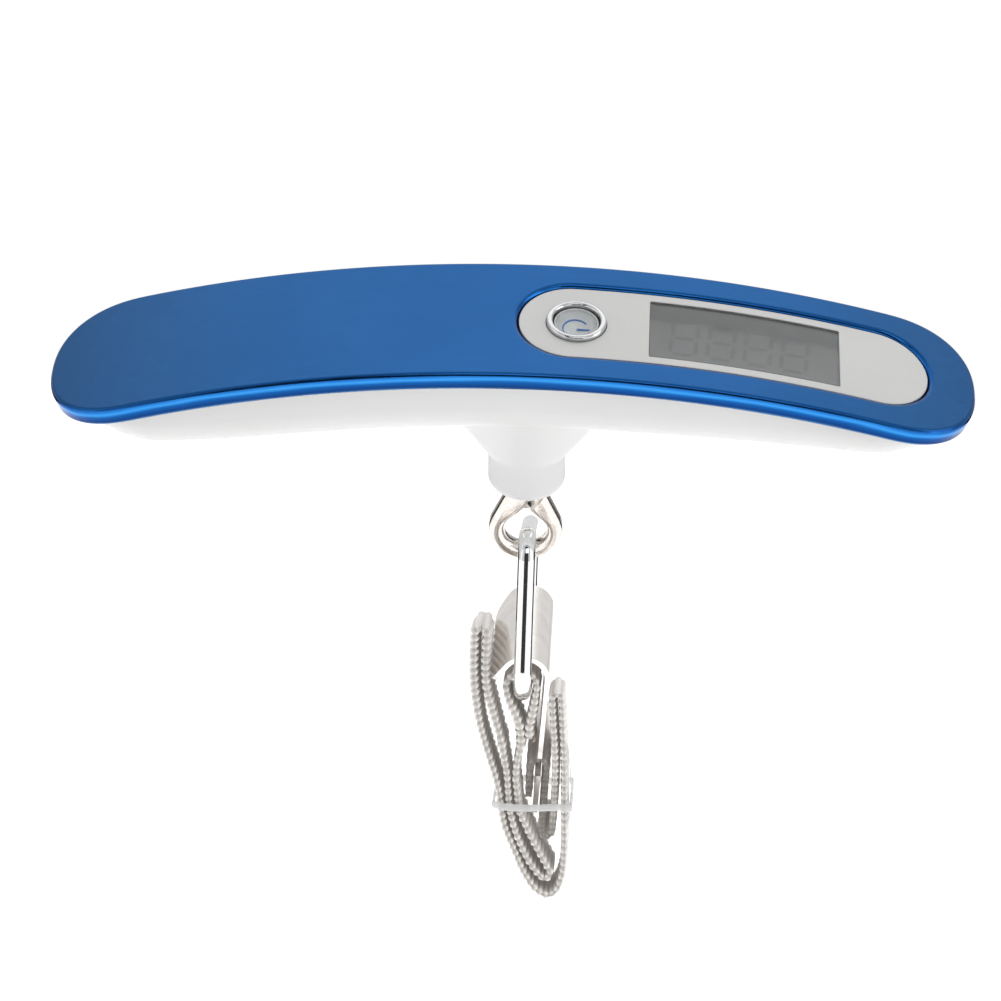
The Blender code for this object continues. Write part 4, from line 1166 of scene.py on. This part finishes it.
def stitch(start, end, radius=0.13 * MM):
    """One stitch: thread that dips into the cloth at both ends."""
    count = 6
    points = []
    for i in range(count + 1):
        share = i / count
        lift = math.sin(share * math.pi)
        points.append((start[0].lerp(end[0], share)) + start[1] * (lift * 0.32 * MM - 0.12 * MM))
    radii = [radius * (0.55 + 0.45 * math.sin(math.pi * (i + 0.5) / (count + 1))) for i in range(count + 1)]
    return tube(points, radii, sides=8)


def stitched_rows(out, places, pitch=2.2):
    """Rows of stitches across the strap, each at x and z in mm on a face that out points away from."""
    made = []
    for x, z in places:
        y = -8.6
        while y < 8.4:
            a, b = on_strap(x, z, y), on_strap(x, z + 0.25, y + pitch * 0.82)
            made.append(stitch((a, out), (b, out)))
            y += pitch
    return made


def make_stitches():
    """The seam that closes the loop round the ring."""
    rows = stitched_rows(Vector((1, 0, 0)), ((2.1, -5.2), (2.05, -6.3), (2.05, -7.8), (2.15, -8.9)))
    rows += stitched_rows(Vector((-1, 0, 0)), ((-0.95, -6.0), (-0.8, -7.2), (-0.65, -8.7)))
    add_cloth("loop_stitches", merged(rows), "thread")


def make_tie():
    """A clear tie cinched round the bundle. Its outline has its corners at TIE_LOW and TIE_HIGH."""
    (low, high), corner = (TIE_LOW, TIE_HIGH), TIE_CORNER
    rings, outline = [], []
    corners = ((high[0], high[1], 0), (low[0], high[1], 90), (low[0], low[1], 180), (high[0], low[1], 270))
    for x, y, start in corners:
        middle = (x - math.copysign(corner, x), y - math.copysign(corner, y))
        outline += [Vector(point) for point in arc(middle, corner, start, start + 90, 10)]
    dense = closed_path(outline, 0.8)
    for i, (x, y) in enumerate(dense):
        along = (dense[(i + 1) % len(dense)] - dense[i - 1]).normalized()
        normal = Vector((along.y, -along.x))
        pinch = 0.12 * math.sin(i * 0.9) + 0.08 * math.sin(i * 2.3)
        rise = 0.18 * math.sin(i * 0.37)
        ring = []
        for a in full_turn(12):
            out, up = 0.2 * math.cos(a) + pinch * 0.5, 0.62 * math.sin(a) + rise
            ring.append(on_strap(x + normal.x * out, TIE_LEVEL + up, y + normal.y * out))
        rings.append(ring)
    band = swept_mesh(rings, closed=True)
    add_cloth("cinched_tie", band, "tie", ["tie_band"], sharp=60)


def make_film():
    """What is left of a clear sleeve: a creased film that stands off the right side of the bundle."""
    levels, depths = 40, 30
    rows = []
    for i in range(levels + 1):
        down = i / levels
        z = -8.8 - 14.4 * down
        bulge = 0.75 * math.sin(math.pi * min(down * 1.15 + 0.04, 1)) ** 0.6
        row = []
        for j in range(depths + 1):
            back = j / depths
            crease = 0.1 * math.sin(9 * back + 7 * down) + 0.06 * math.sin(23 * down + 5 * back)
            x = 7.55 + 1.3 * down + (bulge + crease) * (1 - 0.6 * back)
            row.append(on_strap(x, z, -10.2 + 14 * back + 0.25 * math.sin(11 * down)))
        rows.append(row)
    bm = bmesh.new()
    made = [[bm.verts.new(place) for place in row] for row in rows]
    for first, second in zip(made, made[1:]):
        for j in range(depths):
            bm.faces.new((first[j], first[j + 1], second[j + 1], second[j]))
    add_cloth("sleeve_film", mesh_from(bm), "film")


# ---- inside the handle

CAD_LOOKS = {
    "lcd": ["lcd_glass"],
    "diffuser": ["backlight_diffuser"],
    "rubber": ["zebra_strip_front", "zebra_strip_rear"],
    "green": ["circuit_board"],
    "black": ["controller_chip", "tactile_switch", "stem_bush", "battery_carrier", "battery_lead_black"],
    "steel": [
        *("board_screw_front", "board_screw_rear", "load_cell_screw_left", "load_cell_screw_right"),
        *("stem_washer", "stem_nut", "coin_cell"),
    ],
    "aluminium": ["load_cell"],
    "foil": ["strain_gauge_left", "strain_gauge_right"],
    "brass": ["battery_spring_contact", "battery_side_contact"],
    "red": ["battery_lead_red", "gauge_lead"],
}


def finish_cad_nodes():
    for look, names in CAD_LOOKS.items():
        for name in names:
            materials = frame["nodes"][name].data.materials
            materials.clear()
            materials.append(LOOKS[look])


# ---- camera and studio

CAMERA_RISE = math.radians(5)
CAMERA_TURN = math.radians(1.5)
CAMERA_ROLL = math.radians(1.9)
FOCAL_MM = 148.0
SENSOR_MM = 36.0
DISTANCE = 0.679
# Where the middle of the cover's top lies in the picture, from its centre, as shares of its width.
COVER_SHARE = (0.0289, 0.1822)


def make_camera():
    reach = math.cos(CAMERA_RISE)
    back = Vector((math.sin(CAMERA_TURN) * reach, -math.cos(CAMERA_TURN) * reach, math.sin(CAMERA_RISE)))
    level = Vector((math.cos(CAMERA_TURN), math.sin(CAMERA_TURN), 0))
    upright = back.cross(level)
    right = level * math.cos(CAMERA_ROLL) + upright * math.sin(CAMERA_ROLL)
    up = upright * math.cos(CAMERA_ROLL) - level * math.sin(CAMERA_ROLL)
    scale = DISTANCE * SENSOR_MM / FOCAL_MM
    aim = HANDLE @ Vector((0, 0, TOP))
    place = aim + back * DISTANCE - right * COVER_SHARE[0] * scale - up * COVER_SHARE[1] * scale
    data = bpy.data.cameras.new("camera")
    data.lens = FOCAL_MM
    data.sensor_width = SENSOR_MM
    data.clip_start = 0.01
    data.clip_end = 50
    camera = linked("camera", data)
    turn = Matrix((right, up, back)).transposed().to_4x4()
    camera.matrix_world = Matrix.Translation(place) @ turn
    bpy.context.scene.camera = camera


def area_light(name, place, size, power):
    """A rectangular light aimed at the origin."""
    data = bpy.data.lights.new(name, "AREA")
    data.shape = "RECTANGLE"
    data.size, data.size_y = size
    data.energy = power
    light = linked(name, data)
    light.location = place
    light.rotation_euler = (-Vector(place)).to_track_quat("-Z", "Y").to_euler()


# The studio's grey from the camera's side (0) round to behind the object (1): what the chrome mirrors.
STUDIO_BANDS = ((0.0, 0.6), (0.1, 0.95), (0.9, 0.95), (1.0, 1.0))
STUDIO_STRENGTH = 0.75
# Dark upright cards outside the picture, as x, y, turn in degrees, width and top: one behind the camera, whose
# reflection is the middle stripe of the ring's front leg, and two to the sides behind, which edge the wire.
CARDS = (
    (-0.03, -1.1, 0, 1.1, 1.2),
    (-0.95, 0.88, 47, 0.95, 0.1),
    (0.95, 0.88, -47, 0.95, 0.1),
)
CARD_FOOT = -0.3
FLOOR_DROP = 0.28
# Each light's place, size and power.
LIGHTS = {
    "top_box": ((0, 0.25, 0.8), (1.2, 0.8), 2.0),
    "left_box": ((-0.9, -0.3, 0.25), (0.5, 0.9), 0.6),
    "right_box": ((0.9, -0.3, 0.25), (0.5, 0.9), 1.9),
    "front_fill": ((0.1, -0.9, 0.55), (0.7, 0.3), 1.3),
}


def stage_look(name, size, dark, light, **sockets):
    look = Look(name, **sockets)
    look.set("Base Color", look.ramp(look.noise(size), (0.3, (dark,) * 3), (0.7, (light,) * 3)))
    return look.material


def make_stage():
    bm = bmesh.new()
    bmesh.ops.create_circle(bm, cap_ends=True, segments=96, radius=6)
    glow = {"Emission_Color": (1, 1, 1), "Emission_Strength": 0.62}
    floor = linked("pale_floor", mesh_from(bm))
    floor.location = (0, 0, CAD_BOX[0].z - FLOOR_DROP)
    floor.data.materials.append(stage_look("pale_floor", 0.4, 0.93, 0.95, Roughness=0.9, **glow))

    card_look = stage_look("dark_card", 0.3, 0.012, 0.018, Roughness=0.8)
    for i, (x, y, turn, width, top) in enumerate(CARDS):
        card = linked(f"dark_card_{i}", box_mesh((-width / 2, 0, CARD_FOOT), (width / 2, 0.01, top)))
        card.matrix_world = Matrix.Translation((x, y, 0)) @ Matrix.Rotation(math.radians(turn), 4, "Z")
        card.data.materials.append(card_look)
        card.visible_camera = False


def make_world():
    """White to the camera's own rays, and the studio's bands of grey to every other ray."""
    world = bpy.data.worlds.new("studio")
    bpy.context.scene.world = world
    world.use_nodes = True
    tree = world.node_tree
    place = add_node(tree, "TexCoord").outputs["Generated"]
    along = add_node(tree, "SeparateXYZ", Vector=place).outputs["Y"]
    depth = add_node(tree, "MapRange", Value=along, From_Min=-1, From_Max=1).outputs["Result"]
    bands = add_ramp(tree, depth, [(position, (grey,) * 3) for position, grey in STUDIO_BANDS])
    mirrored = tree.nodes["Background"]
    feed(tree, bands, mirrored.inputs["Color"])
    mirrored.inputs["Strength"].default_value = STUDIO_STRENGTH
    shown = add_node(tree, "Background", Color=(1, 1, 1), Strength=1.0)
    mix = add_node(tree, "MixShader", Fac=add_node(tree, "LightPath").outputs["Is Camera Ray"])
    tree.links.new(mirrored.outputs[0], mix.inputs[1])
    tree.links.new(shown.outputs[0], mix.inputs[2])
    tree.links.new(mix.outputs[0], tree.nodes["World Output"].inputs["Surface"])


def make_studio():
    make_stage()
    make_world()
    for name, (place, size, power) in LIGHTS.items():
        area_light(name, place, size, power)
    bpy.context.scene.view_settings.view_transform = "Standard"
    bpy.context.scene.view_settings.look = "None"


make_camera()
make_handle()
make_panel()
make_screen()
make_button()
make_eye()
make_ring()
make_hook()
make_webbing()
make_stitches()
make_tie()
make_film()
finish_cad_nodes()
make_studio()
